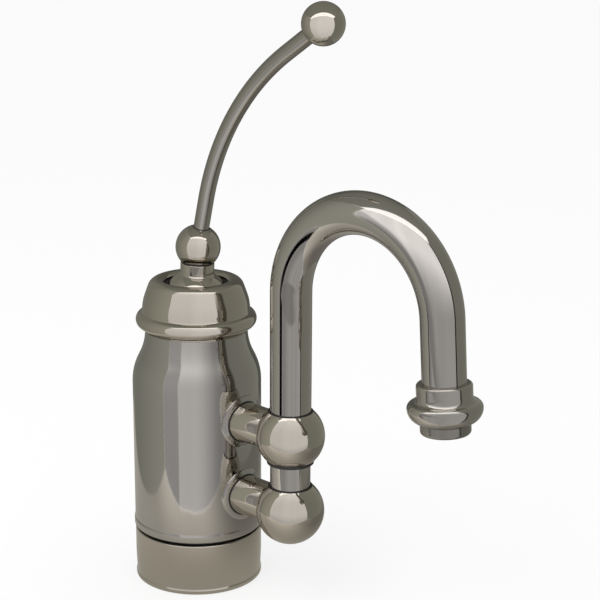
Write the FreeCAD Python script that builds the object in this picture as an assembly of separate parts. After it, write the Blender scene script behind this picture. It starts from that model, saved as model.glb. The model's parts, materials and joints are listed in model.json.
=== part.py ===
"""Gooseneck bar faucet: swivelling spout on two ball arms and a single curved lever.

Millimetres. Origin at the underside of the foot on the deck, +Z up, spout and arms towards -Y.
"""
import math
import os

import FreeCAD
import Part

V = FreeCAD.Vector
X, Z = V(1, 0, 0), V(0, 0, 1)

# Clearances
RUN = 0.05            # radial running clearance of shafts and discs
SLIP = 0.03           # radial clearance of seals and pins
FREE = 0.3            # gap between pieces that move past each other
FIT = 0.02            # radial gap of pieces that are assembled and stay put
OVER = 1.0            # how far a cut runs past the face that it opens

# Foot
FOOT_SETBACK = 0.1    # foot's side inside the body's
FOOT_TOP = 25.1
FOOT_EDGE = 1.2       # rounding of the lower edge
FOOT_LIP = 0.4        # bevel of the upper edge
GASKET_PROUD = 0.3    # how far the gasket stands below the foot
GASKET_IN = 3.2       # gasket's edge inside the foot's side
GASKET_WIDTH = 3.5
GASKET_T = 2.2
SEAT_GAP = 1.7        # height of the dark groove
SEAT_IN = 1.5         # how far the groove is set back
SEAT_WIDTH = 3.38
LAND_WIDTH = 3.6      # land that carries the core
LAND_RISE = 1.2

# Body shell
BODY_R = 30.8
BODY_WALL = 3.3
BODY_EDGE = 1.5
SHOULDER_Z = 99.0
NECK_Z = 124.2
NECK_WALL = 2.5
BORE_DROP = 2.0       # wide bore's end below the shoulder
BORE_RISE = 12.0      # narrow bore's start above the shoulder
FLARE_R = 14.3        # arm boss where it meets the body
BOSS_R = 9.9
BOSS_PROUD = 0.6      # boss face beyond the body's surface
BOSS_POINTS = 24
BOSS_SHARES = (-1, 0.0, 0.3, 0.65, 1.0)     # loft sections: 0 on the body, 1 at the face
BOSS_CURVE = 2.2      # how late the flare leaves the body
ARM_HOLE_GAP = 0.2

# Arms, balls and post
UPPER_Z = 84.6
LOWER_Z = 48.1
POST_REACH = 60.1
BALL_R = 15.9
ARM_R_IN = 9.6
ARM_R_OUT = 9.0
ARM_SPIGOT_R = 6.9
ARM_SPIGOT_IN = 11.0
ARM_SPIGOT_OUT = 3.2
ARM_BORE_R = 3.6
ARM_PLUG = 4.0        # solid end of the arm that carries no water
WASHER_T = 0.5
WASHER_IN = 0.4       # washer's edge inside the boss face
POST_R = 9.35
POST_BORE_R = 5.5
BUSH_WALL = 0.9
BUSH_LEN = 5.0
LOWER_BUSH_LEN = 3.6
BUSH_PROUD = 0.25
POST_FOOT = 8.6       # post end below the lower ball's centre
THRUST_T = 1.0
THRUST_GAP = 0.2
PORT_R = 2.0
PORT_GROOVE = 4.0
SEAL_W = 1.8
SEAL_GROOVE_W = 2.0
GROOVE_DEPTH = 1.5
SEAL_UP = 3.7         # seal centres above and below the port's centre
SEAL_DOWN = 3.9
STOP_Z = 6.9          # stop groove above the lower ball's centre
STOP_R = 1.5
KEY_R = 0.8           # key socket of the stop screw
KEY_DEPTH = 1.5
SCREW_IN = 0.8        # screw's end below the ball's surface
SWIVEL_LIMIT = 110.0

# Gooseneck
TUBE_R = 9.525
TUBE_WALL = 1.5
TUBE_START = 80.0
BEND_Z = 152.9
BEND_R = 42.0
BEND_SWEEP = 176.0
LEG = 32.0            # straight outlet leg down to the tube's end
SPIGOT_LEN = 10.0

# Outlet
COLLAR_TOP = 26.8     # distances along the outlet leg
COLLAR_R = 12.0
COLLAR_EDGE = 1.2
COLLAR_WAIST = 32.5
COLLAR_END = 44.0
BEAD_UPPER = ((12.9, 33.9), (15.3, 35.2), (16.2, 37.4))     # radius and distance
BEAD_LOWER = ((15.4, 39.8), (13.4, 42.6))
AERATOR_R = 10.9
AERATOR_END = 49.0
AERATOR_EDGE = 0.8
AERATOR_GAP = 0.2     # seam between the collar and the aerator
AERATOR_THREAD_R = 10.2
AERATOR_BORE_R = 8.8
AERATOR_TOP = 36.5
AERATOR_LIP = 0.9
AERATOR_LIP_T = 1.2
AERATOR_WASHER_T = 1.5
INSERT_WALL = 1.2
INSERT_DROP = 2.0     # insert's top below the housing's
SCREEN_BAR = 1.0
SCREEN_BARS = 7
SCREEN_PITCH = 2.3
SCREEN_T = 3.0

# Bell cap
CAP_FOOT_Z = 124.9
CAP_BEAD_Z = 129.5
CAP_BEAD_PROUD = 4.3  # bead beyond the neck's side
CAP_BEAD_TUBE = 3.7
CAP_BEAD_FOOT = 160.0     # the bead's arc, in degrees from straight up
CAP_BEAD_CROWN = 12.0
CAP_FOOT_IN = 0.8     # cap's foot inside the neck's side
CAP_BEAD_IN = 1.2
CAP_WALL = ((1.25, 133.47), (1.05, 134.4))       # beyond the neck's side, and height
CAP_CROWN = ((0.6, 138.0), (0.0, 141.0), (-0.9, 144.0), (-2.2, 146.5), (-3.8, 148.2),
             (-5.9, 149.0), (-8.1, 148.5), (-9.7, 147.0))
CAP_LIP = 1.4         # height of the mouth's lip
CAP_INSIDE = ((-6.8, 145.2), (-4.2, 143.0), (-2.8, 139.5))
CAP_CHAMBER_Z = 128.0
CAP_CHAMBER_FOOT = 126.4
CAP_SPIGOT_Z = 117.0
CAP_SPIGOT_WALL = 2.14
CAP_SEAL_H = 2.0
CAP_SEAL_T = 1.2

# Dome joint and lever
PIVOT_Z = 138.0
DOME_R = 15.6
DOME_WALL = 1.9
DOME_RIM = 84.0       # rim angle from the lever's axis
LEAN = 3.7            # forward lean of the lever's axis at rest
TILT = 20.0
COLLAR_LEVER_R = 8.0
COLLAR_TOP_AT = 18.9  # distances along the lever's axis from the pivot
COLLAR_LEVER_EDGE = 0.4
DOME_FILLET = 1.6     # between the dome and its collar
HUB_AT = 10.4
BALL_WASHER_T = 0.6
BALL_WASHER_IN = 0.9
LEVER_BALL_AT = 26.4
LEVER_BALL_R = 10.6
STEM_SQ = 7.0
STEM_TOP_AT = 21.5
STEM_FOOT_AT = -3.2
STEM_SOCKET_GAP = 0.05
STEM_END_GAP = 0.2
PIN_R = 1.5
PIN_IN = 0.6
LEVER_TIP_R = 2.5
LEVER_ARM = 12.5
LEVER_NECK_R = 1.6    # taper between the tip and the stem
LEVER_ROOT_R = 3.2
LEVER_ROOT_AT = -2.5
ROD_R = 3.7
ROD_LEAN = 13.3       # rod's direction from vertical where it leaves the ball
ROD_STRAIGHT = 23.9
ROD_BEND_R = 118.9
ROD_END_LEAN = 56.1
ROD_TAIL = 25.3
ROD_IN_BALL = 5.0
KNOB_R = 9.5
KNOB_SOCKET = 5.0
GRUB_R = 2.0
GRUB_AT = 15.6
GRUB_IN = 0.4
GRUB_KEY_R = 1.0
GRUB_KEY_DEPTH = 1.8

# Cartridge
DISC_Z = 118.5        # plane where the ceramic discs meet
FIXED_T = 3.0
FIXED_GAP = 0.3
BASE_T = 4.0
BASE_SPIGOT = 2.5
SEAL_T = 1.0
SEAL_WALL = 1.2
MOVING_T = 3.0
MOVING_IN = 1.2       # moving disc's edge inside the carrier's
CARRIER_T = 5.8
CARRIER_ROOM = 3.3    # room for the carrier's slide inside the housing
CARRIER_FLAT = 10.0
POCKET_FIT = 0.12     # lever tip in the carrier's pocket
POCKET_SIDE = 1.3
POCKET_FLOOR = 0.8
HOUSING_R = 17.4
HOUSING_WALL = 1.9
HOUSING_TOP = 134.4
HOUSING_PLATE = 2.9
HOUSING_STEP = 1.4
HOUSING_STEP_Z = 130.5
NUT_SLOT = 1.2        # half width and depth of the nut's key slots
NUT_SLOT_DEPTH = 1.6
TURRET_R = 9.5
TURRET_TOP = 145.0
RAIL_DROP = 5.6
SLOT_HALF = 7.2
INLET_DISC = (5.0, -4.5)
INLET_DISC_R = 2.0
OUTLET_DISC_Y = 5.5
OUTLET_DISC_R = 3.0
CHAMBER_R = 7.2
CHAMBER_Y = 3.5
CHAMBER_DEPTH = 1.5

# Valve core
CORE_STEP = 0.28      # core's side beyond its cup
CORE_FOOT_Z = 0.0
CORE_FLANGE_T = 7.0
CUP_WALL = 2.3
CUP_FLOOR_T = 6.0
CUP_TOP = 134.4
ARM_PAD_R = 11.0
ARM_PAD_FACE = 26.6
SUPPLY_X = 9.5
SUPPLY_Y = 8.0
SUPPLY_R = 4.5
SUPPLY_DEPTH = 12.0
SUPPLY_TURN = 14.0    # slanted passage's start below the cup's floor
STUD_R = 3.4
STUD_Y = -8.0
STUD_DEPTH = 16.0

# Sizes that follow
FOOT_R = BODY_R - FOOT_SETBACK
GASKET_R = FOOT_R - GASKET_IN
SEAT_R = FOOT_R - SEAT_IN
LAND_R = SEAT_R - SEAT_WIDTH - FIT
FOOT_BORE_R = LAND_R - LAND_WIDTH
POST_Y = -POST_REACH
LEVER_PIVOT = V(0, 0, PIVOT_Z)
SHELL_FOOT_Z = FOOT_TOP + SEAT_GAP
CORE_SEAT_Z = FOOT_TOP + SEAT_GAP + LAND_RISE
CUP_R = HOUSING_R + FIT
CUP_OUT_R = CUP_R + CUP_WALL
CORE_R = CUP_OUT_R + CORE_STEP
NECK_BORE_R = CUP_OUT_R + FIT + CAP_SPIGOT_WALL + FIT
NECK_R = NECK_BORE_R + NECK_WALL
CAP_BEAD_R = NECK_R + CAP_BEAD_PROUD
HOUSING_BORE_R = HOUSING_R - HOUSING_WALL
HOUSING_STEP_R = HOUSING_R - HOUSING_STEP
FIXED_R = HOUSING_BORE_R - FIXED_GAP
CARRIER_R = HOUSING_BORE_R - CARRIER_ROOM
MOVING_R = CARRIER_R - MOVING_IN
BODY_BORE_R = BODY_R - BODY_WALL
BOSS_FACE = BODY_R + BOSS_PROUD
ARM_START = BOSS_FACE + WASHER_T
SOCKET_R = POST_R + RUN
CARRIER_Z = DISC_Z + FIT + MOVING_T
FLANGE_Z = CARRIER_Z + CARRIER_T + RUN
FIXED_Z = DISC_Z - FIXED_T
BASE_Z = FIXED_Z - BASE_T
CUP_FLOOR_Z = BASE_Z - SEAL_T
BALL_FACE = POST_REACH - math.sqrt(BALL_R ** 2 - ARM_R_OUT ** 2)
THRUST_Z = LOWER_Z - POST_FOOT - THRUST_T - RUN
STEM_SOCKET = STEM_SQ / 2 + STEM_SOCKET_GAP


def profile(start, *steps):
    """Wire in the XZ plane: a step is a point, an arc (middle, end) or a list for a spline."""
    edges, here = [], V(start[0], 0, start[1])
    for step in steps:
        if isinstance(step, list):
            points = [here] + [V(r, 0, z) for r, z in step]
            curve = Part.BSplineCurve()
            curve.interpolate(points)
            edges.append(curve.toShape())
            here = points[-1]
        elif isinstance(step[0], tuple):
            middle, end = (V(p[0], 0, p[1]) for p in step)
            edges.append(Part.Arc(here, middle, end).toShape())
            here = end
        else:
            end = V(step[0], 0, step[1])
            edges.append(Part.makeLine(here, end))
            here = end
    first = V(start[0], 0, start[1])
    if here.distanceToPoint(first) > 1e-6:
        edges.append(Part.makeLine(here, first))
    return Part.Wire(edges)


def turned(start, *steps):
    """Solid turned about Z from a closed profile."""
    return Part.Face(profile(start, *steps)).revolve(V(), Z, 360)


def disc(radius, low, high, x=0.0, y=0.0):
    """Upright cylinder between two heights."""
    return Part.makeCylinder(radius, high - low, V(x, y, low), Z)


def ring(outer, inner, low, high, x=0.0, y=0.0):
    """Upright tube between two heights."""
    return disc(outer, low, high, x, y).cut(disc(inner, low - OVER, high + OVER, x, y))


def bar(radius, start, end):
    """Round bar between two points."""
    along = end.sub(start)
    return Part.makeCylinder(radius, along.Length, start, along)


def block(x, y, low, high, y_at=0.0):
    """Upright block with half sizes x and y."""
    return Part.makeBox(2 * x, 2 * y, high - low, V(-x, y_at - y, low))


def round_point(centre, radius, degrees):
    """Point (r, z) on an arc, the angle taken from straight up."""
    a = math.radians(degrees)
    return centre[0] + radius * math.sin(a), centre[1] + radius * math.cos(a)


def at_angle(axis_point, axis, degrees, shape):
    """Copy of a shape turned about an axis."""
    turned_shape = shape.copy()
    turned_shape.rotate(axis_point, axis, degrees)
    return turned_shape


def export(node, shape):
    """Write one node's STEP file."""
    shape.removeSplitter().exportStep("parts/%s.step" % node)
    print(node, len(shape.Solids), round(shape.Volume, 1))


# Foot and body

def base_ring():
    low, edge = GASKET_PROUD, FOOT_EDGE
    corner = round_point((FOOT_R - edge, low + edge), edge, 135)
    body = turned((FOOT_BORE_R, low), (FOOT_R - edge, low), (corner, (FOOT_R, low + edge)),
                  (FOOT_R, FOOT_TOP - FOOT_LIP), (FOOT_R - FOOT_LIP, FOOT_TOP), (LAND_R, FOOT_TOP),
                  (LAND_R, CORE_SEAT_Z), (FOOT_BORE_R, CORE_SEAT_Z))
    groove = ring(GASKET_R + FIT, GASKET_R - GASKET_WIDTH - FIT, low - OVER, GASKET_T)
    return body.cut(groove)


def deck_gasket():
    return ring(GASKET_R, GASKET_R - GASKET_WIDTH, 0, GASKET_T)


def seat_ring():
    return ring(SEAT_R, LAND_R + FIT, FOOT_TOP, SHELL_FOOT_Z)


def shoulder_arcs(outer, inner, low, high):
    """Two tangent arcs of a shoulder from radius outer at low to inner at high."""
    drop, rise = outer - inner, high - low
    bend = (rise * rise + drop * drop) / (4 * drop)
    turn = math.degrees(math.asin(rise / 2 / bend)) / 2
    middle = ((outer + inner) / 2, (low + high) / 2)
    lower = round_point((outer - bend, low), bend, 90 - turn)
    upper = round_point((inner + bend, high), bend, 270 - turn)
    return (lower, middle), (upper, (inner, high))


def boss_wire(z, share):
    """Closed curve round the arm's axis: below 0 inside the wall, 0 on the body, 1 at the face."""
    radius = FLARE_R - (FLARE_R - BOSS_R) * max(share, 0)
    points = []
    for i in range(BOSS_POINTS):
        a = 2 * math.pi * i / BOSS_POINTS
        x, dz = radius * math.sin(a), radius * math.cos(a)
        skin = math.sqrt(BODY_R ** 2 - x * x)
        reach = skin + (BOSS_FACE - skin) * share ** BOSS_CURVE if share >= 0 else CORE_R
        points.append(V(x, -reach, z + dz))
    curve = Part.BSplineCurve()
    curve.interpolate(points, PeriodicFlag=True)
    return Part.Wire(curve.toShape())


def arm_boss(z):
    """Flared arm boss: a saddle on the body's surface drawn in to the round boss face."""
    return Part.makeLoft([boss_wire(z, share) for share in BOSS_SHARES], True, True)


def body_shell():
    edge_z = SHELL_FOOT_Z + BODY_EDGE
    corner = round_point((BODY_R - BODY_EDGE, edge_z), BODY_EDGE, 135)
    low_arc, high_arc = shoulder_arcs(BODY_R, NECK_R, SHOULDER_Z, NECK_Z)
    shape = turned((0, SHELL_FOOT_Z), (BODY_R - BODY_EDGE, SHELL_FOOT_Z), (corner, (BODY_R, edge_z)),
                   (BODY_R, SHOULDER_Z), low_arc, high_arc, (0, NECK_Z))
    inside = turned((0, SHELL_FOOT_Z - OVER), (BODY_BORE_R, SHELL_FOOT_Z - OVER),
                    (BODY_BORE_R, SHOULDER_Z - BORE_DROP), (NECK_BORE_R, SHOULDER_Z + BORE_RISE),
                    (NECK_BORE_R, NECK_Z + OVER), (0, NECK_Z + OVER))
    for z in (UPPER_Z, LOWER_Z):
        shape = shape.fuse(arm_boss(z))
    shape = shape.cut(inside)
    for z in (UPPER_Z, LOWER_Z):
        shape = shape.cut(arm_bar(ARM_SPIGOT_R + ARM_HOLE_GAP, 0, BOSS_FACE + OVER, z))
    return shape


def valve_core():
    shape = disc(CORE_R, CORE_SEAT_Z, CUP_FLOOR_Z)
    shape = shape.fuse(disc(FOOT_BORE_R - FREE, CORE_FOOT_Z, CORE_SEAT_Z))
    shape = shape.fuse(disc(BODY_BORE_R - FIT, CORE_SEAT_Z, CORE_SEAT_Z + CORE_FLANGE_T))
    for z in (UPPER_Z, LOWER_Z):
        pad = arm_bar(ARM_PAD_R, 0, BODY_BORE_R, z)
        shape = shape.fuse(pad.common(disc(ARM_PAD_FACE, z - ARM_PAD_R, z + ARM_PAD_R)))
    cup = disc(CUP_OUT_R, CUP_FLOOR_Z - CUP_FLOOR_T, CUP_TOP)
    shape = shape.fuse(cup).cut(disc(CUP_R, CUP_FLOOR_Z, CUP_TOP + OVER))
    for side in (-1, 1):
        shape = shape.cut(supply_passage(side))
    shape = shape.cut(disc(OUTLET_DISC_R, LOWER_Z, CUP_FLOOR_Z + OVER, 0, OUTLET_DISC_Y))
    shape = shape.cut(arm_bar(ARM_BORE_R, -OUTLET_DISC_Y, ARM_START, LOWER_Z))
    for z in (UPPER_Z, LOWER_Z):
        socket = arm_bar(ARM_SPIGOT_R + FIT, ARM_START - ARM_SPIGOT_IN - OVER, ARM_START, z)
        shape = shape.cut(socket)
    return shape.cut(disc(STUD_R, CORE_FOOT_Z - OVER, CORE_FOOT_Z + STUD_DEPTH, 0, STUD_Y))


def supply_passage(side):
    """Tapped inlet, upright bore and slanted bore up to the cup's floor."""
    x, (port_x, port_y) = side * SUPPLY_X, INLET_DISC
    turn_z = CUP_FLOOR_Z - SUPPLY_TURN
    mouth = disc(SUPPLY_R, CORE_FOOT_Z - OVER, CORE_FOOT_Z + SUPPLY_DEPTH, x, SUPPLY_Y)
    riser = disc(INLET_DISC_R, CORE_FOOT_Z, turn_z + OVER, x, SUPPLY_Y)
    top = V(side * port_x, port_y, CUP_FLOOR_Z + OVER)
    return mouth.fuse(riser).fuse(bar(INLET_DISC_R, V(x, SUPPLY_Y, turn_z), top))


def bell_cap():
    inner = CUP_OUT_R + FIT
    spigot, step = NECK_BORE_R - FIT, NECK_R - CAP_FOOT_IN
    bead = (CAP_BEAD_R - CAP_BEAD_TUBE, CAP_BEAD_Z)
    foot = round_point(bead, CAP_BEAD_TUBE, CAP_BEAD_FOOT)
    top = round_point(bead, CAP_BEAD_TUBE, CAP_BEAD_CROWN)
    wall, crown, inside = ([(NECK_R + out, z) for out, z in points]
                           for points in (CAP_WALL, CAP_CROWN, CAP_INSIDE))
    mouth_r, mouth_z = crown[-1]
    return turned((inner, CAP_SPIGOT_Z), (spigot, CAP_SPIGOT_Z), (spigot, NECK_Z), (step, NECK_Z),
                  (step, CAP_FOOT_Z), (foot[0] - CAP_BEAD_IN, CAP_FOOT_Z), foot,
                  ((CAP_BEAD_R, CAP_BEAD_Z), top), wall, crown, (mouth_r, mouth_z - CAP_LIP),
                  inside, (inside[-1][0], CAP_CHAMBER_Z), (inner, CAP_CHAMBER_FOOT))


def cap_seal():
    outer = NECK_BORE_R - FIT
    return ring(outer, outer - CAP_SEAL_T, CAP_SPIGOT_Z - CAP_SEAL_H, CAP_SPIGOT_Z)


# Cartridge

def port_holes(low, high, radius_extra=0.0):
    """Two inlet holes and one outlet hole on the cartridge's port pattern."""
    x, y = INLET_DISC
    shape = disc(INLET_DISC_R + radius_extra, low, high, x, y)
    shape = shape.fuse(disc(INLET_DISC_R + radius_extra, low, high, -x, y))
    return shape.fuse(disc(OUTLET_DISC_R + radius_extra, low, high, 0, OUTLET_DISC_Y))


def cartridge_seals():
    wide = port_holes(CUP_FLOOR_Z, BASE_Z, SEAL_WALL)
    return wide.cut(port_holes(CUP_FLOOR_Z - OVER, BASE_Z + OVER))


def cartridge_base():
    shape = disc(HOUSING_R, BASE_Z, FIXED_Z - BASE_SPIGOT)
    shape = shape.fuse(disc(HOUSING_BORE_R - FIT, BASE_Z, FIXED_Z))
    return shape.cut(port_holes(BASE_Z - OVER, FIXED_Z + OVER))


def fixed_disc():
    return disc(FIXED_R, FIXED_Z, DISC_Z).cut(port_holes(FIXED_Z - OVER, DISC_Z + OVER))


def cartridge_housing():
    low, plate = FIXED_Z - BASE_SPIGOT, HOUSING_TOP - HOUSING_PLATE
    return turned((HOUSING_BORE_R, low), (HOUSING_R, low), (HOUSING_R, HOUSING_STEP_Z),
                  (HOUSING_STEP_R, HOUSING_STEP_Z), (HOUSING_STEP_R, HOUSING_TOP),
                  (TURRET_R + RUN, HOUSING_TOP), (TURRET_R + RUN, plate), (HOUSING_BORE_R, plate))


def cartridge_nut():
    shape = ring(CUP_R - FIT, HOUSING_STEP_R + FIT, HOUSING_STEP_Z, CUP_TOP)
    for degrees in (0, 90):
        slot = block(HOUSING_R + OVER, NUT_SLOT, CUP_TOP - NUT_SLOT_DEPTH, CUP_TOP + OVER)
        shape = shape.cut(at_angle(V(), Z, degrees, slot))
    return shape


# Slider and turret

def slider_rest():
    """Offset of the slider's centre and of its slot from the axis, lever at rest."""
    start = LEVER_ARM * math.sin(math.radians(LEAN))
    end = LEVER_ARM * math.sin(math.radians(LEAN - TILT))
    return (start - end) / 2, start


def moving_disc():
    centre, _ = slider_rest()
    low = DISC_Z + FIT
    shape = disc(MOVING_R, low, CARRIER_Z, 0, centre)
    return shape.cut(disc(CHAMBER_R, low - OVER, low + CHAMBER_DEPTH, 0, CHAMBER_Y))


def disc_carrier():
    centre, slot = slider_rest()
    top = CARRIER_Z + CARRIER_T
    shape = disc(CARRIER_R, CARRIER_Z, top, 0, centre)
    shape = shape.common(block(CARRIER_FLAT, CARRIER_R + OVER, CARRIER_Z, top, centre))
    return shape.cut(block(LEVER_TIP_R + POCKET_SIDE, LEVER_TIP_R + POCKET_FIT,
                           CARRIER_Z + POCKET_FLOOR, top + OVER, slot))


def turret():
    flange_r = HOUSING_BORE_R - RUN
    flange_top = HOUSING_TOP - HOUSING_PLATE - RUN
    shape = disc(flange_r, FLANGE_Z, flange_top)
    shape = shape.fuse(disc(TURRET_R, FLANGE_Z, TURRET_TOP))
    rails = disc(flange_r, FLANGE_Z - RAIL_DROP, FLANGE_Z)
    rails = rails.cut(block(CARRIER_FLAT + RUN, HOUSING_R, FLANGE_Z - RAIL_DROP, FLANGE_Z))
    shape = shape.fuse(rails)
    shape = shape.cut(block(STEM_SQ / 2 + FREE, SLOT_HALF, FLANGE_Z - OVER, TURRET_TOP + OVER))
    return shape.cut(bar(PIN_R + FIT, V(-TURRET_R, 0, PIVOT_Z), V(TURRET_R, 0, PIVOT_Z)))


def pivot_pin():
    half = TURRET_R - PIN_IN
    return bar(PIN_R, V(-half, 0, PIVOT_Z), V(half, 0, PIVOT_Z))


# Handle, built upright about the pivot and then leaned forward

def leaned(shape):
    """Handle piece moved from the upright lever frame to its place at rest."""
    placed = shape.copy()
    placed.rotate(V(), X, LEAN)
    placed.translate(LEVER_PIVOT)
    return placed


def lever_stem():
    half = STEM_SQ / 2
    tip = V(0, 0, -LEVER_ARM)
    shape = block(half, half, STEM_FOOT_AT, STEM_TOP_AT)
    neck = Part.makeCone(LEVER_NECK_R, LEVER_ROOT_R, LEVER_ARM + LEVER_ROOT_AT, tip, Z)
    shape = shape.fuse(neck).fuse(Part.makeSphere(LEVER_TIP_R, tip))
    return leaned(shape.cut(bar(PIN_R + SLIP, V(-STEM_SQ, 0, 0), V(STEM_SQ, 0, 0))))


def handle_dome():
    """Hollow dome with the lever's collar, drawn about the pivot."""
    inner = DOME_R - DOME_WALL
    hub_turn = math.degrees(math.acos(HUB_AT / inner))
    side, reach = COLLAR_LEVER_R + DOME_FILLET, DOME_R + DOME_FILLET
    touch_turn = math.degrees(math.asin(side / reach))
    fillet = (side, math.sqrt(reach ** 2 - side ** 2))
    fillet_turn = (180 + touch_turn + 270) / 2

    def on_dome(radius, degrees):
        return round_point((0, 0), radius, degrees)

    shape = turned((0, HUB_AT), on_dome(inner, hub_turn),
                   (on_dome(inner, (DOME_RIM + hub_turn) / 2), on_dome(inner, DOME_RIM)),
                   on_dome(DOME_R, DOME_RIM),
                   (on_dome(DOME_R, (DOME_RIM + touch_turn) / 2), on_dome(DOME_R, touch_turn)),
                   (round_point(fillet, DOME_FILLET, fillet_turn), (COLLAR_LEVER_R, fillet[1])),
                   (COLLAR_LEVER_R, COLLAR_TOP_AT - COLLAR_LEVER_EDGE),
                   (COLLAR_LEVER_R - COLLAR_LEVER_EDGE, COLLAR_TOP_AT), (0, COLLAR_TOP_AT))
    shape = shape.cut(block(STEM_SOCKET, STEM_SOCKET, HUB_AT - OVER, COLLAR_TOP_AT + OVER))
    return leaned(shape.cut(grub_bar(GRUB_R + FIT, 0, COLLAR_LEVER_R + OVER)))


def grub_bar(radius, start, end):
    """Bar towards the back through the lever's collar."""
    return bar(radius, V(0, start, GRUB_AT), V(0, end, GRUB_AT))


def handle_screw():
    end = COLLAR_LEVER_R - GRUB_IN
    shape = grub_bar(GRUB_R, STEM_SQ / 2, end)
    return leaned(shape.cut(grub_bar(GRUB_KEY_R, end - GRUB_KEY_DEPTH, end + OVER)))


def ball_washer():
    top = COLLAR_TOP_AT + BALL_WASHER_T
    shape = disc(COLLAR_LEVER_R - BALL_WASHER_IN, COLLAR_TOP_AT, top)
    return leaned(shape.cut(block(STEM_SOCKET, STEM_SOCKET, COLLAR_TOP_AT - OVER, top + OVER)))


def rod_path():
    """Rod's centreline: foot in the ball, start, middle and end of the bend, knob's centre."""
    lean0, lean1 = math.radians(ROD_LEAN), math.radians(ROD_END_LEAN)
    centre = leaned(Part.Vertex(V(0, 0, LEVER_BALL_AT))).Point

    def along(point, lean, length):
        return point.add(V(0, -math.sin(lean) * length, math.cos(lean) * length))

    bend = along(centre, lean0, ROD_STRAIGHT)

    def on_arc(lean):
        out = ROD_BEND_R * (math.cos(lean0) - math.cos(lean))
        up = ROD_BEND_R * (math.sin(lean) - math.sin(lean0))
        return bend.add(V(0, -out, up))

    return (along(centre, lean0, ROD_IN_BALL), bend, on_arc((lean0 + lean1) / 2), on_arc(lean1),
            along(on_arc(lean1), lean1, ROD_TAIL))


def handle_ball():
    flat = COLLAR_TOP_AT + BALL_WASHER_T
    ball = Part.makeSphere(LEVER_BALL_R, V(0, 0, LEVER_BALL_AT))
    ball = ball.cut(disc(LEVER_BALL_R + OVER, flat - LEVER_BALL_R, flat))
    socket = block(STEM_SOCKET, STEM_SOCKET, flat - OVER, STEM_TOP_AT + STEM_END_GAP)
    start, bend = rod_path()[:2]
    return leaned(ball.cut(socket)).cut(bar(ROD_R + STEM_SOCKET_GAP, start, bend))


def handle_rod():
    start, bend, middle, end, _ = rod_path()
    path = Part.Wire([Part.makeLine(start, bend), Part.Arc(bend, middle, end).toShape(),
                      Part.makeLine(end, rod_tip())])
    circle = Part.Wire(Part.makeCircle(ROD_R, start, bend.sub(start)))
    return path.makePipeShell([circle], True, False)


def rod_tip():
    """Rod's end in the knob's socket."""
    end, knob = rod_path()[3:]
    return knob.add(end.sub(knob).normalize() * (KNOB_R - KNOB_SOCKET))


def handle_knob():
    end, knob = rod_path()[3:]
    return Part.makeSphere(KNOB_R, knob).cut(bar(ROD_R + STEM_SOCKET_GAP, rod_tip(), end))


# Arms and balls

def arm_bar(radius, start, end, z):
    """Bar along an arm's axis between two distances from the body's axis."""
    return bar(radius, V(0, -start, z), V(0, -end, z))


def arm(z, bore_end):
    """Side arm between the body's washer and its ball, with a spigot at each end."""
    length = BALL_FACE - ARM_START
    shape = turned((0, 0), (ARM_R_IN, 0), (ARM_R_OUT, length), (0, length))
    shape = shape.fuse(disc(ARM_SPIGOT_R, -ARM_SPIGOT_IN, length + ARM_SPIGOT_OUT))
    shape.rotate(V(), X, 90)
    shape.translate(V(0, -ARM_START, z))
    return shape.cut(arm_bar(ARM_BORE_R, ARM_START - ARM_SPIGOT_IN - OVER, bore_end, z))


def arm_washer(z):
    blank = arm_bar(BOSS_R - WASHER_IN, BOSS_FACE, ARM_START, z)
    return blank.cut(arm_bar(ARM_SPIGOT_R + FIT, 0, POST_REACH, z))


def ball_blank(z):
    """Ball with its socket for the arm's spigot."""
    ball = Part.makeSphere(BALL_R, V(0, POST_Y, z))
    ball = ball.cut(arm_bar(ARM_R_OUT + OVER, 0, BALL_FACE + FIT, z))
    return ball.cut(arm_bar(ARM_SPIGOT_R + FIT, 0, BALL_FACE + ARM_SPIGOT_OUT + FIT, z))


def bush_top(radius):
    """Height above a ball's centre where its surface reaches the bush's outer radius."""
    return math.sqrt(BALL_R ** 2 - (radius + BUSH_WALL) ** 2) + BUSH_PROUD


def upper_ball():
    ball = ball_blank(UPPER_Z)
    ball = ball.cut(disc(TUBE_R + RUN, UPPER_Z - BALL_R, UPPER_Z + BALL_R, 0, POST_Y))
    high = UPPER_Z + bush_top(TUBE_R + RUN)
    low = UPPER_Z - bush_top(SOCKET_R)
    ball = ball.cut(disc(TUBE_R + RUN + BUSH_WALL, high - BUSH_LEN, high + OVER, 0, POST_Y))
    return ball.cut(disc(SOCKET_R + BUSH_WALL, low - OVER, low + BUSH_LEN, 0, POST_Y))


def bush(radius, low, high):
    return ring(radius + RUN + BUSH_WALL - FIT, radius + RUN, low, high, 0, POST_Y)


def upper_bush_top():
    high = UPPER_Z + bush_top(TUBE_R + RUN)
    return bush(TUBE_R, high - BUSH_LEN, high)


def upper_bush_bottom():
    low = UPPER_Z - bush_top(SOCKET_R)
    return bush(POST_R, low, low + BUSH_LEN)


def lower_ball():
    ball = ball_blank(LOWER_Z)
    ball = ball.cut(disc(SOCKET_R, THRUST_Z, LOWER_Z + BALL_R, 0, POST_Y))
    high = LOWER_Z + bush_top(SOCKET_R)
    ball = ball.cut(disc(SOCKET_R + BUSH_WALL, high - LOWER_BUSH_LEN, high + OVER, 0, POST_Y))
    ball = ball.cut(arm_bar(ARM_BORE_R, 0, POST_REACH, LOWER_Z))
    screw_z = LOWER_Z + STOP_Z
    return ball.cut(bar(STOP_R + FIT, V(0, POST_Y, screw_z), V(BALL_R, POST_Y, screw_z)))


def lower_bush():
    high = LOWER_Z + bush_top(SOCKET_R)
    return bush(POST_R, high - LOWER_BUSH_LEN, high)


def thrust_washer():
    return ring(POST_R - THRUST_GAP, POST_BORE_R, THRUST_Z, THRUST_Z + THRUST_T, 0, POST_Y)


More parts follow.
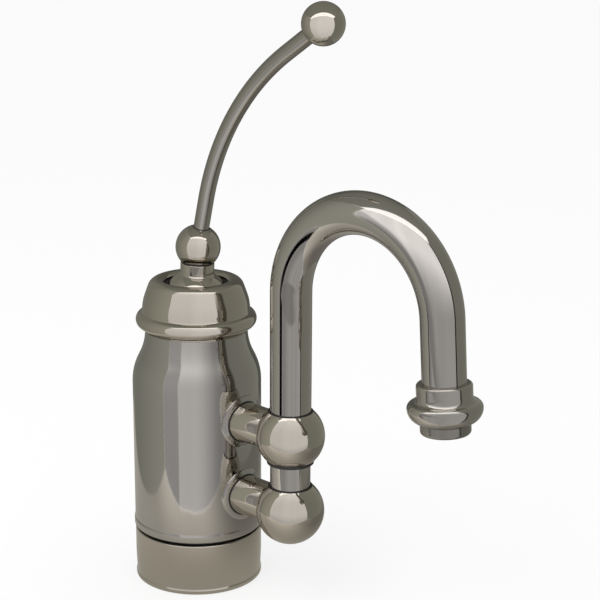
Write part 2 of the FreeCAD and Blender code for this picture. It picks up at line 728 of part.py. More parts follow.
def stop_screw():
    z = LOWER_Z + STOP_Z
    start = POST_R - GROOVE_DEPTH + FREE
    end = math.sqrt(BALL_R ** 2 - STOP_Z ** 2) - SCREW_IN
    shape = bar(STOP_R, V(start, POST_Y, z), V(end, POST_Y, z))
    return shape.cut(bar(KEY_R, V(end - KEY_DEPTH, POST_Y, z), V(end + OVER, POST_Y, z)))


# Spout

def groove(z, width):
    """Ring to cut from the post."""
    return ring(POST_R + OVER, POST_R - GROOVE_DEPTH, z - width / 2, z + width / 2, 0, POST_Y)


def spout_post():
    low = LOWER_Z - POST_FOOT
    shape = disc(POST_R, low, TUBE_START, 0, POST_Y)
    shape = shape.fuse(disc(TUBE_R - TUBE_WALL - FIT, TUBE_START, TUBE_START + SPIGOT_LEN, 0, POST_Y))
    bore_foot, spigot_top = LOWER_Z - PORT_R - OVER, TUBE_START + SPIGOT_LEN
    shape = shape.cut(disc(POST_BORE_R, bore_foot, spigot_top + OVER, 0, POST_Y))
    shape = shape.cut(groove(LOWER_Z, PORT_GROOVE))
    for z in (LOWER_Z + SEAL_UP, LOWER_Z - SEAL_DOWN):
        shape = shape.cut(groove(z, SEAL_GROOVE_W))
    centre, reach = V(0, POST_Y, LOWER_Z), POST_R + OVER
    for out in (V(reach, 0, 0), V(0, reach, 0)):
        shape = shape.cut(bar(PORT_R, centre.sub(out), centre.add(out)))
    return shape.cut(stop_sector())


def stop_sector():
    """Part-turn groove that the stop screw runs in."""
    spare = math.degrees(math.asin((STOP_R + FREE / 2) / (POST_R - GROOVE_DEPTH)))
    half = SWIVEL_LIMIT + spare
    z, tall = LOWER_Z + STOP_Z, STOP_R + FREE / 2
    inner, outer = POST_R - GROOVE_DEPTH, POST_R + OVER
    section = profile((inner, z - tall), (outer, z - tall), (outer, z + tall), (inner, z + tall))
    sector = Part.Face(section).revolve(V(), Z, 2 * half)
    sector.rotate(V(), Z, -half)
    sector.translate(V(0, POST_Y, 0))
    return sector


def post_seal(z):
    return ring(POST_R + RUN - SLIP, POST_R - GROOVE_DEPTH + FIT, z - SEAL_W / 2, z + SEAL_W / 2,
                0, POST_Y)


def spout_tube():
    sweep = math.radians(BEND_SWEEP)
    start, bend = V(0, POST_Y, TUBE_START), V(0, POST_Y, BEND_Z)
    middle, end = (bend.add(V(0, -BEND_R * (1 - math.cos(a)), BEND_R * math.sin(a)))
                   for a in (sweep / 2, sweep))
    tip = end.add(V(0, -math.sin(sweep), math.cos(sweep)) * LEG)
    path = Part.Wire([Part.makeLine(start, bend), Part.Arc(bend, middle, end).toShape(),
                      Part.makeLine(end, tip)])
    walls = [path.makePipeShell([Part.Wire(Part.makeCircle(r, start, Z))], True, False)
             for r in (TUBE_R, TUBE_R - TUBE_WALL)]
    return walls[0].cut(walls[1])


def at_outlet(shape):
    """Piece built downwards from the bend's end, moved to the outlet leg."""
    sweep = math.radians(BEND_SWEEP)
    placed = shape.copy()
    placed.rotate(V(), X, BEND_SWEEP - 180)
    placed.translate(V(0, POST_Y - BEND_R * (1 - math.cos(sweep)), BEND_Z + BEND_R * math.sin(sweep)))
    return placed


def outlet_collar():
    bore, thread, water_r = TUBE_R + FIT, AERATOR_THREAD_R + FIT, TUBE_R - TUBE_WALL
    edge = (COLLAR_R - COLLAR_EDGE, -COLLAR_TOP - COLLAR_EDGE)
    seat, step = -AERATOR_TOP + AERATOR_WASHER_T, -LEG - FIT
    bead = [(r, -at) for r, at in BEAD_UPPER + BEAD_LOWER + ((AERATOR_R, COLLAR_END),)]
    return at_outlet(turned((bore, -COLLAR_TOP), (edge[0], -COLLAR_TOP),
                            (round_point(edge, COLLAR_EDGE, 45), (COLLAR_R, edge[1])),
                            (COLLAR_R, -COLLAR_WAIST), bead, (thread, -COLLAR_END), (thread, seat),
                            (water_r, seat), (water_r, step), (bore, step)))


def aerator_washer():
    return at_outlet(ring(AERATOR_THREAD_R, AERATOR_BORE_R - AERATOR_LIP, -AERATOR_TOP,
                          -AERATOR_TOP + AERATOR_WASHER_T))


def aerator_housing():
    seam, end = -COLLAR_END - AERATOR_GAP, -AERATOR_END
    lip_r, lip_z = AERATOR_BORE_R - AERATOR_LIP, end + AERATOR_LIP_T
    edge = (AERATOR_R - AERATOR_EDGE, end + AERATOR_EDGE)
    return at_outlet(turned((AERATOR_BORE_R, -AERATOR_TOP), (AERATOR_THREAD_R, -AERATOR_TOP),
                            (AERATOR_THREAD_R, seam), (AERATOR_R, seam), (AERATOR_R, edge[1]),
                            (round_point(edge, AERATOR_EDGE, 135), (edge[0], end)),
                            (lip_r, end), (lip_r, lip_z), (AERATOR_BORE_R, lip_z)))


def aerator_insert():
    low, high = -AERATOR_END + AERATOR_LIP_T, -AERATOR_TOP - INSERT_DROP
    reach = AERATOR_BORE_R - FIT
    shape = ring(reach, reach - INSERT_WALL, low, high)
    inside = disc(reach - INSERT_WALL / 2, low, low + SCREEN_T)
    for i in range(SCREEN_BARS):
        rib = block(reach, SCREEN_BAR / 2, low, low + SCREEN_T, (i - SCREEN_BARS // 2) * SCREEN_PITCH)
        for degrees in (0, 90):
            shape = shape.fuse(at_angle(V(), Z, degrees, rib).common(inside))
    return at_outlet(shape)


def main():
    """Build every node and write its STEP file."""
    os.makedirs("parts", exist_ok=True)
    nodes = {
        "base_ring": base_ring(), "deck_gasket": deck_gasket(), "seat_ring": seat_ring(),
        "body_shell": body_shell(), "valve_core": valve_core(), "bell_cap": bell_cap(),
        "cap_seal": cap_seal(), "cartridge_seals": cartridge_seals(),
        "cartridge_base": cartridge_base(), "fixed_disc": fixed_disc(),
        "cartridge_housing": cartridge_housing(), "cartridge_nut": cartridge_nut(),
        "moving_disc": moving_disc(), "disc_carrier": disc_carrier(), "turret": turret(),
        "pivot_pin": pivot_pin(), "lever_stem": lever_stem(), "handle_dome": handle_dome(),
        "handle_screw": handle_screw(), "ball_washer": ball_washer(), "handle_ball": handle_ball(),
        "handle_rod": handle_rod(), "handle_knob": handle_knob(),
        "upper_arm": arm(UPPER_Z, BALL_FACE - ARM_PLUG),
        "lower_arm": arm(LOWER_Z, POST_REACH),
        "upper_arm_washer": arm_washer(UPPER_Z), "lower_arm_washer": arm_washer(LOWER_Z),
        "upper_ball": upper_ball(), "lower_ball": lower_ball(),
        "upper_bush_top": upper_bush_top(), "upper_bush_bottom": upper_bush_bottom(),
        "lower_bush": lower_bush(), "thrust_washer": thrust_washer(), "stop_screw": stop_screw(),
        "spout_post": spout_post(), "post_seal_upper": post_seal(LOWER_Z + SEAL_UP),
        "post_seal_lower": post_seal(LOWER_Z - SEAL_DOWN), "spout_tube": spout_tube(),
        "outlet_collar": outlet_collar(), "aerator_washer": aerator_washer(),
        "aerator_housing": aerator_housing(), "aerator_insert": aerator_insert(),
    }
    for node, shape in nodes.items():
        export(node, shape)


main()
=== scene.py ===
"""Scene of a gooseneck bar faucet in polished nickel.

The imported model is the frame. Each sub-assembly is a class that draws its outlines in
millimetres, turns or sweeps them into meshes and dresses them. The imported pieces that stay
as they are get the finish of their material slot.
"""
import json
import logging
import math
from dataclasses import dataclass, field
from enum import Enum

import bmesh
import bpy
from mathutils import Matrix, Vector


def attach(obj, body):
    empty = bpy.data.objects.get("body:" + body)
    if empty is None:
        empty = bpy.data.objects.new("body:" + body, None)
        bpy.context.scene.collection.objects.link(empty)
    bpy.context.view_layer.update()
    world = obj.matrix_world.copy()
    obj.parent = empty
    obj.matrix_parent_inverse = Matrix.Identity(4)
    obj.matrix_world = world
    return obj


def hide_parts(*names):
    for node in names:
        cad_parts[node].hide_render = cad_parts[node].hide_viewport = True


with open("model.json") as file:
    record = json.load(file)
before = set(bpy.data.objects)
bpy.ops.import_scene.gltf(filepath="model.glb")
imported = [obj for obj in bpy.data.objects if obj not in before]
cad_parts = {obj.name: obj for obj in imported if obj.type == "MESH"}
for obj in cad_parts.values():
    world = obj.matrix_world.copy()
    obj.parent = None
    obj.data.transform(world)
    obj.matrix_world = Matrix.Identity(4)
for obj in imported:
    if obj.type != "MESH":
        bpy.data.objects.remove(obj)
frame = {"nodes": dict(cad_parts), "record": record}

MM = 0.001
UP = Vector((0.0, 0.0, 1.0))
ACROSS = Vector((1.0, 0.0, 0.0))
SHARP_ANGLE = math.radians(32.0)
ONE_CORNER = 1e-7               # metres between corners that are one
SAME_END = 1e-4                 # millimetres between an outline's ends that meet

# Directions of the photograph, and their turn into the part's
RIGHTWARDS, AWAY, HIGHER = (1, 0, 0), (0, 1, 0), (0, 0, 1)
PHOTO_TURN = Matrix.Rotation(math.radians(-48.813), 4, "Z")

# Sizes that sub-assemblies share, in millimetres
ARM_HEIGHTS = {"upper": 84.6, "lower": 48.1}
BODY_RADIUS = 30.8
GROOVE_TOP = 26.8
NECK_Z = 124.2
POST_Y = -60.1
STEP_BENDS = 0.5, 1.6           # radii of the two bends from a flange in to the wall
STEP_TURN = 35.0                # degrees that each turns
STEP_OUT = sum(STEP_BENDS) * (1.0 - math.cos(math.radians(STEP_TURN)))

log = logging.getLogger("faucet")


# Shader maths


@dataclass(frozen=True)
class Value:
    """A number that a node gives, usable in sums."""

    recipe: "Recipe"
    port: bpy.types.NodeSocket

    def _sum(self, operation: str, first: object, second: object) -> "Value":
        """Result of a Math node on two values or numbers."""
        node = self.recipe.node("ShaderNodeMath", {0: first, 1: second}, operation=operation)
        return Value(self.recipe, node.outputs[0])

    def __add__(self, other: object) -> "Value":
        """Sum of the value and another."""
        return self._sum("ADD", self, other)

    def __mul__(self, other: object) -> "Value":
        """Product of the value and another."""
        return self._sum("MULTIPLY", self, other)

    __radd__, __rmul__ = __add__, __mul__


class Recipe:
    """The node tree of one material or of the world."""

    FIRST_COLOUR, SECOND_COLOUR, BLEND = 6, 7, 2    # a Mix node's colour sockets, whose names repeat

    def __init__(self, tree: bpy.types.NodeTree) -> None:
        """Empty the tree that is to be filled."""
        self.tree = tree
        tree.nodes.clear()

    def node(self, kind: str, inputs: dict | None = None, **settings: object) -> bpy.types.Node:
        """Add a node.

        Args:
            kind: The node's type.
            inputs: Values or links by socket name or number.
            settings: The node's properties.

        Returns:
            The new node.
        """
        node = self.tree.nodes.new(kind)
        for name, value in settings.items():
            setattr(node, name, value)
        for name, value in (inputs or {}).items():
            source = value.port if isinstance(value, Value) else value
            if isinstance(source, bpy.types.NodeSocket):
                self.tree.links.new(source, node.inputs[name])
            else:
                node.inputs[name].default_value = source
        return node

    def noise(self, size_mm: float, detail: float = 3.0, stretch: tuple = (1.0, 1.0, 1.0)) -> Value:
        """Noise on Object coordinates.

        Args:
            size_mm: Size of its patches.
            detail: Levels of finer noise.
            stretch: How much longer the pattern is along each axis.

        Returns:
            The noise, about 0.5 on average.
        """
        scale = tuple(1.0 / s for s in stretch)
        laid = self.node("ShaderNodeMapping", {"Vector": self.places(), "Scale": scale})
        inputs = {"Vector": laid.outputs[0], "Scale": 1.0 / (size_mm * MM), "Detail": detail}
        return Value(self, self.node("ShaderNodeTexNoise", inputs).outputs["Fac"])

    def places(self) -> bpy.types.NodeSocket:
        """Object coordinates."""
        return self.node("ShaderNodeTexCoord").outputs["Object"]

    def tint(self, share: Value, first: tuple, second: tuple) -> bpy.types.NodeSocket:
        """Blend two colours.

        Args:
            share: How much of the second.
            first: One colour, linear RGB.
            second: The other colour.

        Returns:
            The blended colour's socket.
        """
        inputs = {"Factor": share, self.FIRST_COLOUR: (*first, 1.0),
                  self.SECOND_COLOUR: (*second, 1.0)}
        return self.node("ShaderNodeMix", inputs, data_type="RGBA").outputs[self.BLEND]

    def bumped(self, height: Value, depth_mm: float, strength: float = 1.0) -> bpy.types.NodeSocket:
        """Surface relief.

        Args:
            height: The relief, 0 to 1.
            depth_mm: Its full height.
            strength: Share of the relief that shows.

        Returns:
            The bent normal's socket.
        """
        inputs = {"Height": height, "Distance": depth_mm * MM, "Strength": strength}
        return self.node("ShaderNodeBump", inputs).outputs[0]

    def surface(self, inputs: dict) -> None:
        """End the tree in a Principled shader.

        Args:
            inputs: Its values and links by socket name.
        """
        self.end(self.node("ShaderNodeBsdfPrincipled", inputs))

    def end(self, shader: bpy.types.Node, kind: str = "ShaderNodeOutputMaterial") -> None:
        """Give a shader to the tree's output, that of a material or of the world."""
        self.node(kind, {"Surface": shader.outputs[0]})


# Finishes


def fresh_material(name: str) -> tuple[bpy.types.Material, Recipe]:
    """Make an empty material and its recipe."""
    material = bpy.data.materials.new(name)
    material.use_nodes = True
    return material, Recipe(material.node_tree)


@dataclass(frozen=True)
class Plate:
    """Electroplated metal: a mirror with faint waves, cloudy patches and fine wipe marks."""

    name: str
    colour: tuple
    cloud: tuple
    roughness: float
    haze: float = 0.05
    wave_mm: float = 0.010
    wave_size: float = 14.0

    CLOUD_SIZE = 22.0
    WIPE_SIZE = 1.6
    WIPE_STRETCH = (1.0, 1.0, 7.0)
    WAVE_STRETCH = (1.0, 1.0, 2.5)

    def make(self) -> bpy.types.Material:
        """Build the plate's material."""
        material, recipe = fresh_material(self.name)
        cloudy = recipe.noise(self.CLOUD_SIZE, detail=4.0)
        wiped = recipe.noise(self.WIPE_SIZE, detail=5.0, stretch=self.WIPE_STRETCH)
        waves = recipe.noise(self.wave_size, detail=1.0, stretch=self.WAVE_STRETCH)
        recipe.surface({
            "Base Color": recipe.tint(cloudy, self.colour, self.cloud),
            "Metallic": 1.0,
            "Roughness": self.roughness + self.haze * cloudy * wiped,
            "Normal": recipe.bumped(waves, self.wave_mm),
        })
        return material


@dataclass(frozen=True)
class TurnedMetal:
    """Machined metal with fine turning marks."""

    name: str
    colour: tuple
    shade: tuple
    roughness: float
    mark_mm: float = 0.25
    mark_depth: float = 0.02
    haze: float = 0.18

    MARK_STRETCH = (12.0, 12.0, 1.0)
    STAIN_SIZE = 6.0

    def make(self) -> bpy.types.Material:
        """Build the machined material."""
        material, recipe = fresh_material(self.name)
        marks = recipe.noise(self.mark_mm, detail=2.0, stretch=self.MARK_STRETCH)
        stains = recipe.noise(self.STAIN_SIZE)
        recipe.surface({
            "Base Color": recipe.tint(stains, self.colour, self.shade),
            "Metallic": 1.0,
            "Roughness": self.roughness + self.haze * marks,
            "Normal": recipe.bumped(marks, self.mark_depth, strength=0.5),
        })
        return material


@dataclass(frozen=True)
class Moulded:
    """Moulded rubber, plastic or fired ceramic."""

    name: str
    colour: tuple
    shade: tuple
    roughness: float
    grain_mm: float = 0.3
    grain_depth: float = 0.01
    haze: float = 0.15

    PATCH_SIZE = 5.0

    def make(self) -> bpy.types.Material:
        """Build the moulded material."""
        material, recipe = fresh_material(self.name)
        grain = recipe.noise(self.grain_mm)
        patches = recipe.noise(self.PATCH_SIZE)
        recipe.surface({
            "Base Color": recipe.tint(patches, self.colour, self.shade),
            "Metallic": 0.0,
            "Roughness": self.roughness + self.haze * grain,
            "Normal": recipe.bumped(grain, self.grain_depth, strength=0.6),
        })
        return material


class Finish(Enum):
    """The finishes of this faucet, each from its colour, its other colour and its roughness."""

    NICKEL = Plate("polished_nickel", (0.60, 0.555, 0.492), (0.57, 0.526, 0.463), 0.035)
    # Body plating: the nickel made darker and cooler so that the body reflects more dimly, which is
    # painted shade, and a little rougher
    BODY_NICKEL = Plate("body_nickel", (0.54, 0.515, 0.487), (0.51, 0.486, 0.46), 0.06,
                        wave_mm=0.012, wave_size=18.0)
    BEAD_NICKEL = Plate("bead_nickel", (0.58, 0.55, 0.505), (0.53, 0.50, 0.46), 0.09,
                        haze=0.12, wave_mm=0.03, wave_size=5.0)
    ROD_NICKEL = Plate("rod_nickel", (0.48, 0.455, 0.42), (0.45, 0.425, 0.39), 0.06,
                       haze=0.1, wave_mm=0.02, wave_size=9.0)
    TUBE_NICKEL = Plate("tube_nickel", (0.59, 0.56, 0.525), (0.55, 0.52, 0.485), 0.05,
                        haze=0.08, wave_mm=0.02, wave_size=9.0)
    AERATOR_METAL = Plate("aerator_steel", (0.42, 0.40, 0.37), (0.36, 0.34, 0.31), 0.14, haze=0.12)
    BRASS = TurnedMetal("turned_brass", (0.72, 0.55, 0.28), (0.60, 0.45, 0.22), 0.22)
    STEEL = TurnedMetal("turned_steel", (0.55, 0.55, 0.56), (0.42, 0.42, 0.43), 0.25)
    RUBBER = Moulded("black_rubber", (0.012, 0.012, 0.012), (0.03, 0.03, 0.03), 0.5)
    BLACK_PLASTIC = Moulded("black_acetal", (0.01, 0.01, 0.011), (0.022, 0.022, 0.024), 0.35)
    WHITE_PLASTIC = Moulded("white_acetal", (0.85, 0.85, 0.82), (0.78, 0.78, 0.74), 0.35)
    GREY_PLASTIC = Moulded("grey_acetal", (0.42, 0.43, 0.44), (0.36, 0.37, 0.38), 0.4)
    CERAMIC = Moulded("lapped_ceramic", (0.9, 0.9, 0.88), (0.86, 0.86, 0.84), 0.12,
                      grain_mm=0.6, grain_depth=0.002)

    @property
    def material(self) -> bpy.types.Material:
        """The finish's material, made at its first use."""
        return bpy.data.materials.get(self.value.name) or self.value.make()

    @property
    def slot(self) -> str:
        """The material slot that the finish dresses."""
        return "nickel" if self.name.endswith("NICKEL") else self.name.lower()


# Meshes


class Outline:
    """A closed outline in the XZ plane, drawn in millimetres and turned about Z."""

    ARC_STEP = 5.0          # degrees of an arc per edge
    LEAST_STEPS = 3
    AXIS = Vector((0.0, -1.0, 0.0))

    def __init__(self, r: float, z: float) -> None:
        """Start the outline at a distance from the axis and a height."""
        self.bm = bmesh.new()
        self.first = self.tip = self.bm.verts.new((r, 0.0, z))
        self.heading = UP

    def to(self, *points: tuple[float, float]) -> "Outline":
        """Draw straight lines.

        Args:
            points: Radius and height of each line's end.

        Returns:
            The outline.
        """
        for r, z in points:
            target = Vector((r, 0.0, z))
            self.heading = (target - self.tip.co).normalized()
            grown = bmesh.ops.extrude_vert_indiv(self.bm, verts=[self.tip])
            self.tip = grown["verts"][0]
            self.tip.co = target
        return self

    def bend(self, radius: float, degrees: float) -> "Outline":
        """Draw an arc that goes on smoothly from the last line.

        Args:
            radius: The arc's radius.
            degrees: Its turn, positive to the left of the way drawn.

        Returns:
            The outline.
        """
        side = Vector((-self.heading.z, 0.0, self.heading.x)) * math.copysign(1.0, degrees)
        return self._spin(self.tip.co + side * radius, math.radians(degrees))

    def stepped_in(self) -> "Outline":
        """Step in from a flange's upright side to the wall above it."""
        crest, cove = STEP_BENDS
        return self.bend(crest, STEP_TURN).bend(cove, -STEP_TURN)

    def sweep(self, r: float, z: float) -> "Outline":
        """Draw the arc that goes on smoothly from the last line and ends at a point.

        Args:
            r: The end's radius.
            z: The end's height.

        Returns:
            The outline.
        """
        chord = Vector((r, 0.0, z)) - self.tip.co
        side = Vector((-self.heading.z, 0.0, self.heading.x))
        off, along = chord.dot(side), chord.dot(self.heading)
        centre = self.tip.co + side * (chord.length_squared / (2.0 * off))
        return self._spin(centre, 2.0 * math.atan2(off, along))

    def _spin(self, centre: Vector, angle: float) -> "Outline":
        """Carry the tip round a centre.

        Args:
            centre: The arc's centre.
            angle: Its turn in radians, from X towards Z.

        Returns:
            The outline.
        """
        steps = max(self.LEAST_STEPS, math.ceil(abs(math.degrees(angle)) / self.ARC_STEP))
        spun = bmesh.ops.spin(self.bm, geom=[self.tip], cent=centre, axis=self.AXIS, angle=angle,
                              steps=steps)
        self.tip = next(v for v in spun["geom_last"] if isinstance(v, bmesh.types.BMVert))
        self.heading = Matrix.Rotation(angle, 3, self.AXIS) @ self.heading
        return self

    def turned(self, segments: int = 160) -> bmesh.types.BMesh:
        """Close the outline and turn it about Z.

        Args:
            segments: Steps of the full turn.

        Returns:
            The solid, in millimetres.
        """
        if (self.tip.co - self.first.co).length > SAME_END:
            self.bm.edges.new((self.tip, self.first))
        geom = self.bm.verts[:] + self.bm.edges[:]
        bmesh.ops.spin(self.bm, geom=geom, cent=(0, 0, 0), axis=UP, angle=math.tau, steps=segments,
                       use_merge=True)
        return self.bm


def ball(radius: float, segments: int = 96) -> bmesh.types.BMesh:
    """Make a sphere about the origin, its radius in millimetres."""
    bm = bmesh.new()
    bmesh.ops.create_uvsphere(bm, u_segments=segments, v_segments=segments // 2, radius=radius)
    return bm


def cut_flat(bm: bmesh.types.BMesh, place: Vector, normal: Vector) -> None:
    """Cut a solid off flat.

    Args:
        bm: The solid.
        place: A point of the flat.
        normal: Direction of what goes.
    """
    geom = bm.verts[:] + bm.edges[:] + bm.faces[:]
    cut = bmesh.ops.bisect_plane(bm, geom=geom, plane_co=place, plane_no=normal, clear_outer=True)
    edges = [e for e in cut["geom_cut"] if isinstance(e, bmesh.types.BMEdge)]
    bmesh.ops.edgenet_fill(bm, edges=edges)


def aimed(place: Vector, way: Vector) -> Matrix:
    """Place at a point of what is drawn upright, turned to a direction."""
    return Matrix.Translation(place) @ UP.rotation_difference(way).to_matrix().to_4x4()


def forward_at(z: float) -> Matrix:
    """Place at a height of what is drawn upright, laid along the arms' direction."""
    return Matrix.Translation((0.0, 0.0, z)) @ Matrix.Rotation(math.radians(90.0), 4, "X")


@dataclass(frozen=True)
class Bent:
    """A round bar that runs straight, bends about an X axis and runs straight again."""

    radius: float
    start: Vector
    bend: Vector
    centre: Vector
    angle: float
    tail: float
    segments: int = 64
    rows: int = 60

    def solid(self) -> bmesh.types.BMesh:
        """Sweep the bar.

        Returns:
            The closed bar, in millimetres.
        """
        bm = bmesh.new()
        way = (self.bend - self.start).normalized()
        made = bmesh.ops.create_circle(bm, segments=self.segments, radius=self.radius,
                                       matrix=aimed(self.start, way))
        rim = list({e for v in made["verts"] for e in v.link_edges})
        rim = self._straight(bm, rim, self.bend - self.start)
        spun = bmesh.ops.spin(bm, geom=rim, cent=self.centre, axis=ACROSS, angle=self.angle,
                              steps=self.rows)
        rim = [e for e in spun["geom_last"] if isinstance(e, bmesh.types.BMEdge)]
        self._straight(bm, rim, Matrix.Rotation(self.angle, 3, ACROSS) @ way * self.tail)
        bmesh.ops.holes_fill(bm, edges=bm.edges)
        return bm

    @staticmethod
    def _straight(bm: bmesh.types.BMesh, rim: list, way: Vector) -> list:
        """Extrude a ring of edges.

        Args:
            bm: The mesh.
            rim: The ring's edges.
            way: How far and where to.

        Returns:
            The new ring's edges.
        """
        grown = bmesh.ops.extrude_edge_only(bm, edges=rim)["geom"]
        verts = [v for v in grown if isinstance(v, bmesh.types.BMVert)]
        bmesh.ops.translate(bm, verts=verts, vec=way)
        ends = set(verts)
        return [e for e in grown if isinstance(e, bmesh.types.BMEdge) and set(e.verts) <= ends]


def added(name: str, bm: bmesh.types.BMesh, material: bpy.types.Material) -> bpy.types.Object:
    """Put a mesh into the scene.

    Args:
        name: The object's name.
        bm: Its mesh, which is used up.
        material: Its only material.

    Returns:
        The new object.
    """
    mesh = bpy.data.meshes.new(name)
    bm.to_mesh(mesh)
    bm.free()
    mesh.materials.append(material)
    made = bpy.data.objects.new(name, mesh)
    bpy.context.scene.collection.objects.link(made)
    return made


def saddle(rings: list, radius: float, z: float, points: int = 96) -> bmesh.types.BMesh:
    """Stack rings that lie on an upright cylinder, round an axis that points forwards.

    Args:
        rings: Each ring's radius and its height above the cylinder.
        radius: The cylinder's radius.
        z: Height of the axis.
        points: Corners of a ring.

    Returns:
        The closed solid.
    """
    bm = bmesh.new()
    verts = bmesh.ops.create_circle(bm, cap_ends=True, segments=points, radius=1.0,
                                    matrix=forward_at(z))["verts"]
    for i, (size, rise) in enumerate(rings):
        if i:
            start = [f for f in bm.faces if set(f.verts) == set(verts)]
            grown = bmesh.ops.extrude_face_region(bm, geom=start)["geom"]
            if i > 1:
                bmesh.ops.delete(bm, geom=start, context="FACES_ONLY")
            verts = [v for v in grown if isinstance(v, bmesh.types.BMVert)]
        for v in verts:
            way = Vector((v.co.x, 0.0, v.co.z - z)).normalized() * size
            v.co = (way.x, -math.sqrt(radius ** 2 - way.x ** 2) - rise, z + way.z)
    return bm


@dataclass
class Piece:
    """What a finished mesh is called, what it rides on, and what it stands for."""

    name: str
    body: str
    finish: Finish
    nodes: tuple = ()
    place: Matrix = field(default_factory=lambda: Matrix.Identity(4))

    def finished(self, bm: bmesh.types.BMesh) -> bpy.types.Object:
        """Turn a solid in millimetres into the piece.

        Args:
            bm: The solid, which is used up.

        Returns:
            The piece, at the origin with its place in its mesh.
        """
        bmesh.ops.transform(bm, matrix=Matrix.Scale(MM, 4) @ self.place, verts=bm.verts)
        bmesh.ops.remove_doubles(bm, verts=bm.verts, dist=ONE_CORNER)
        bmesh.ops.recalc_face_normals(bm, faces=bm.faces)
        for face in bm.faces:
            face.smooth = True
        for edge in bm.edges:
            edge.smooth = edge.is_manifold and edge.calc_face_angle() < SHARP_ANGLE
        piece = added(self.name, bm, self.finish.material)
        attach(piece, self.body)
        if self.nodes:
            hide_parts(*self.nodes)
        log.info("%s: %d faces on %s", self.name, len(piece.data.polygons), self.body)
        return piece


# The faucet's sub-assemblies


@dataclass
class Foot:
    """Base ring on the deck and the dark ring in the groove above it."""

    radius: float = 30.7
    bore: float = 22.2
    low: float = 0.3
    top: float = 25.1
    land: float = 25.8
    land_top: float = 28.0
    edge: float = 0.5
    lip: float = 0.6
    flange_top: float = 1.9
    waist: float = 12.0
    groove_top: float = GROOVE_TOP
    groove_radius: float = 28.4
    groove_flat: float = 0.3
    fit: float = 0.1

    def build(self) -> None:
        """Make the foot's pieces."""
        ring = Outline(self.bore, self.low).to((self.radius - self.edge, self.low))
        ring.bend(self.edge, 90.0).to((self.radius, self.flange_top)).stepped_in()
        ring.to((self.radius, self.waist), (self.radius, self.top - self.lip)).bend(self.lip, 90.0)
        ring.to((self.land, self.top), (self.land, self.land_top), (self.bore, self.land_top))
        Piece("foot_ring", "body", Finish.NICKEL, ("base_ring",)).finished(ring.turned())
        inner = self.land + self.fit
        dark = Outline(inner, self.top).to((self.groove_radius - self.groove_flat, self.top))
        dark.bend((self.groove_top - self.top) / 2, 180.0).to((inner, self.groove_top))
        Piece("groove_ring", "body", Finish.RUBBER, ("seat_ring",)).finished(dark.turned())


@dataclass
class Body:
    """Bottle-shaped shell with its two flared arm bosses."""

    radius: float = BODY_RADIUS
    bore: float = 27.5
    low: float = GROOVE_TOP
    edge: float = 0.5
    flange_top: float = 29.8
    shoulder: float = 99.0
    neck_z: float = NECK_Z
    neck: float = 24.4
    neck_bore: float = 21.9
    bore_end: float = 97.0
    neck_bore_start: float = 111.0
    flare: float = 12.6
    boss: float = 10.1
    swell: float = 0.25
    boss_rise: float = 1.1
    sunk: float = 2.0
    rings: int = 14

    def build(self) -> None:
        """Make the shell and the bosses."""
        out = self.radius + STEP_OUT
        shell = Outline(self.bore, self.low).to((out - self.edge, self.low)).bend(self.edge, 90.0)
        shell.to((out, self.flange_top)).stepped_in().to((self.radius, self.shoulder))
        shell.sweep((self.radius + self.neck) / 2, (self.shoulder + self.neck_z) / 2)
        shell.sweep(self.neck, self.neck_z)
        shell.to((self.neck_bore, self.neck_z), (self.neck_bore, self.neck_bore_start),
                 (self.bore, self.bore_end))
        # The shell and bosses take the darkened copy of the nickel: painted shade
        Piece("body_bottle", "body", Finish.BODY_NICKEL, ("body_shell",)).finished(
            shell.turned(segments=224))
        for side, z in ARM_HEIGHTS.items():
            Piece(f"{side}_boss", "body", Finish.BODY_NICKEL).finished(self._boss(z))

    def _boss(self, z: float) -> bmesh.types.BMesh:
        """Draw the boss at a height out of the shell, closed inside the shell's wall."""
        rings = [(self.flare, -self.sunk)]
        for i in range(self.rings + 1):
            share = i / self.rings
            size = self.flare - (self.flare - self.boss) * share
            rings.append((size, self.boss_rise * share ** self.swell))
        return saddle(rings, self.radius, z)


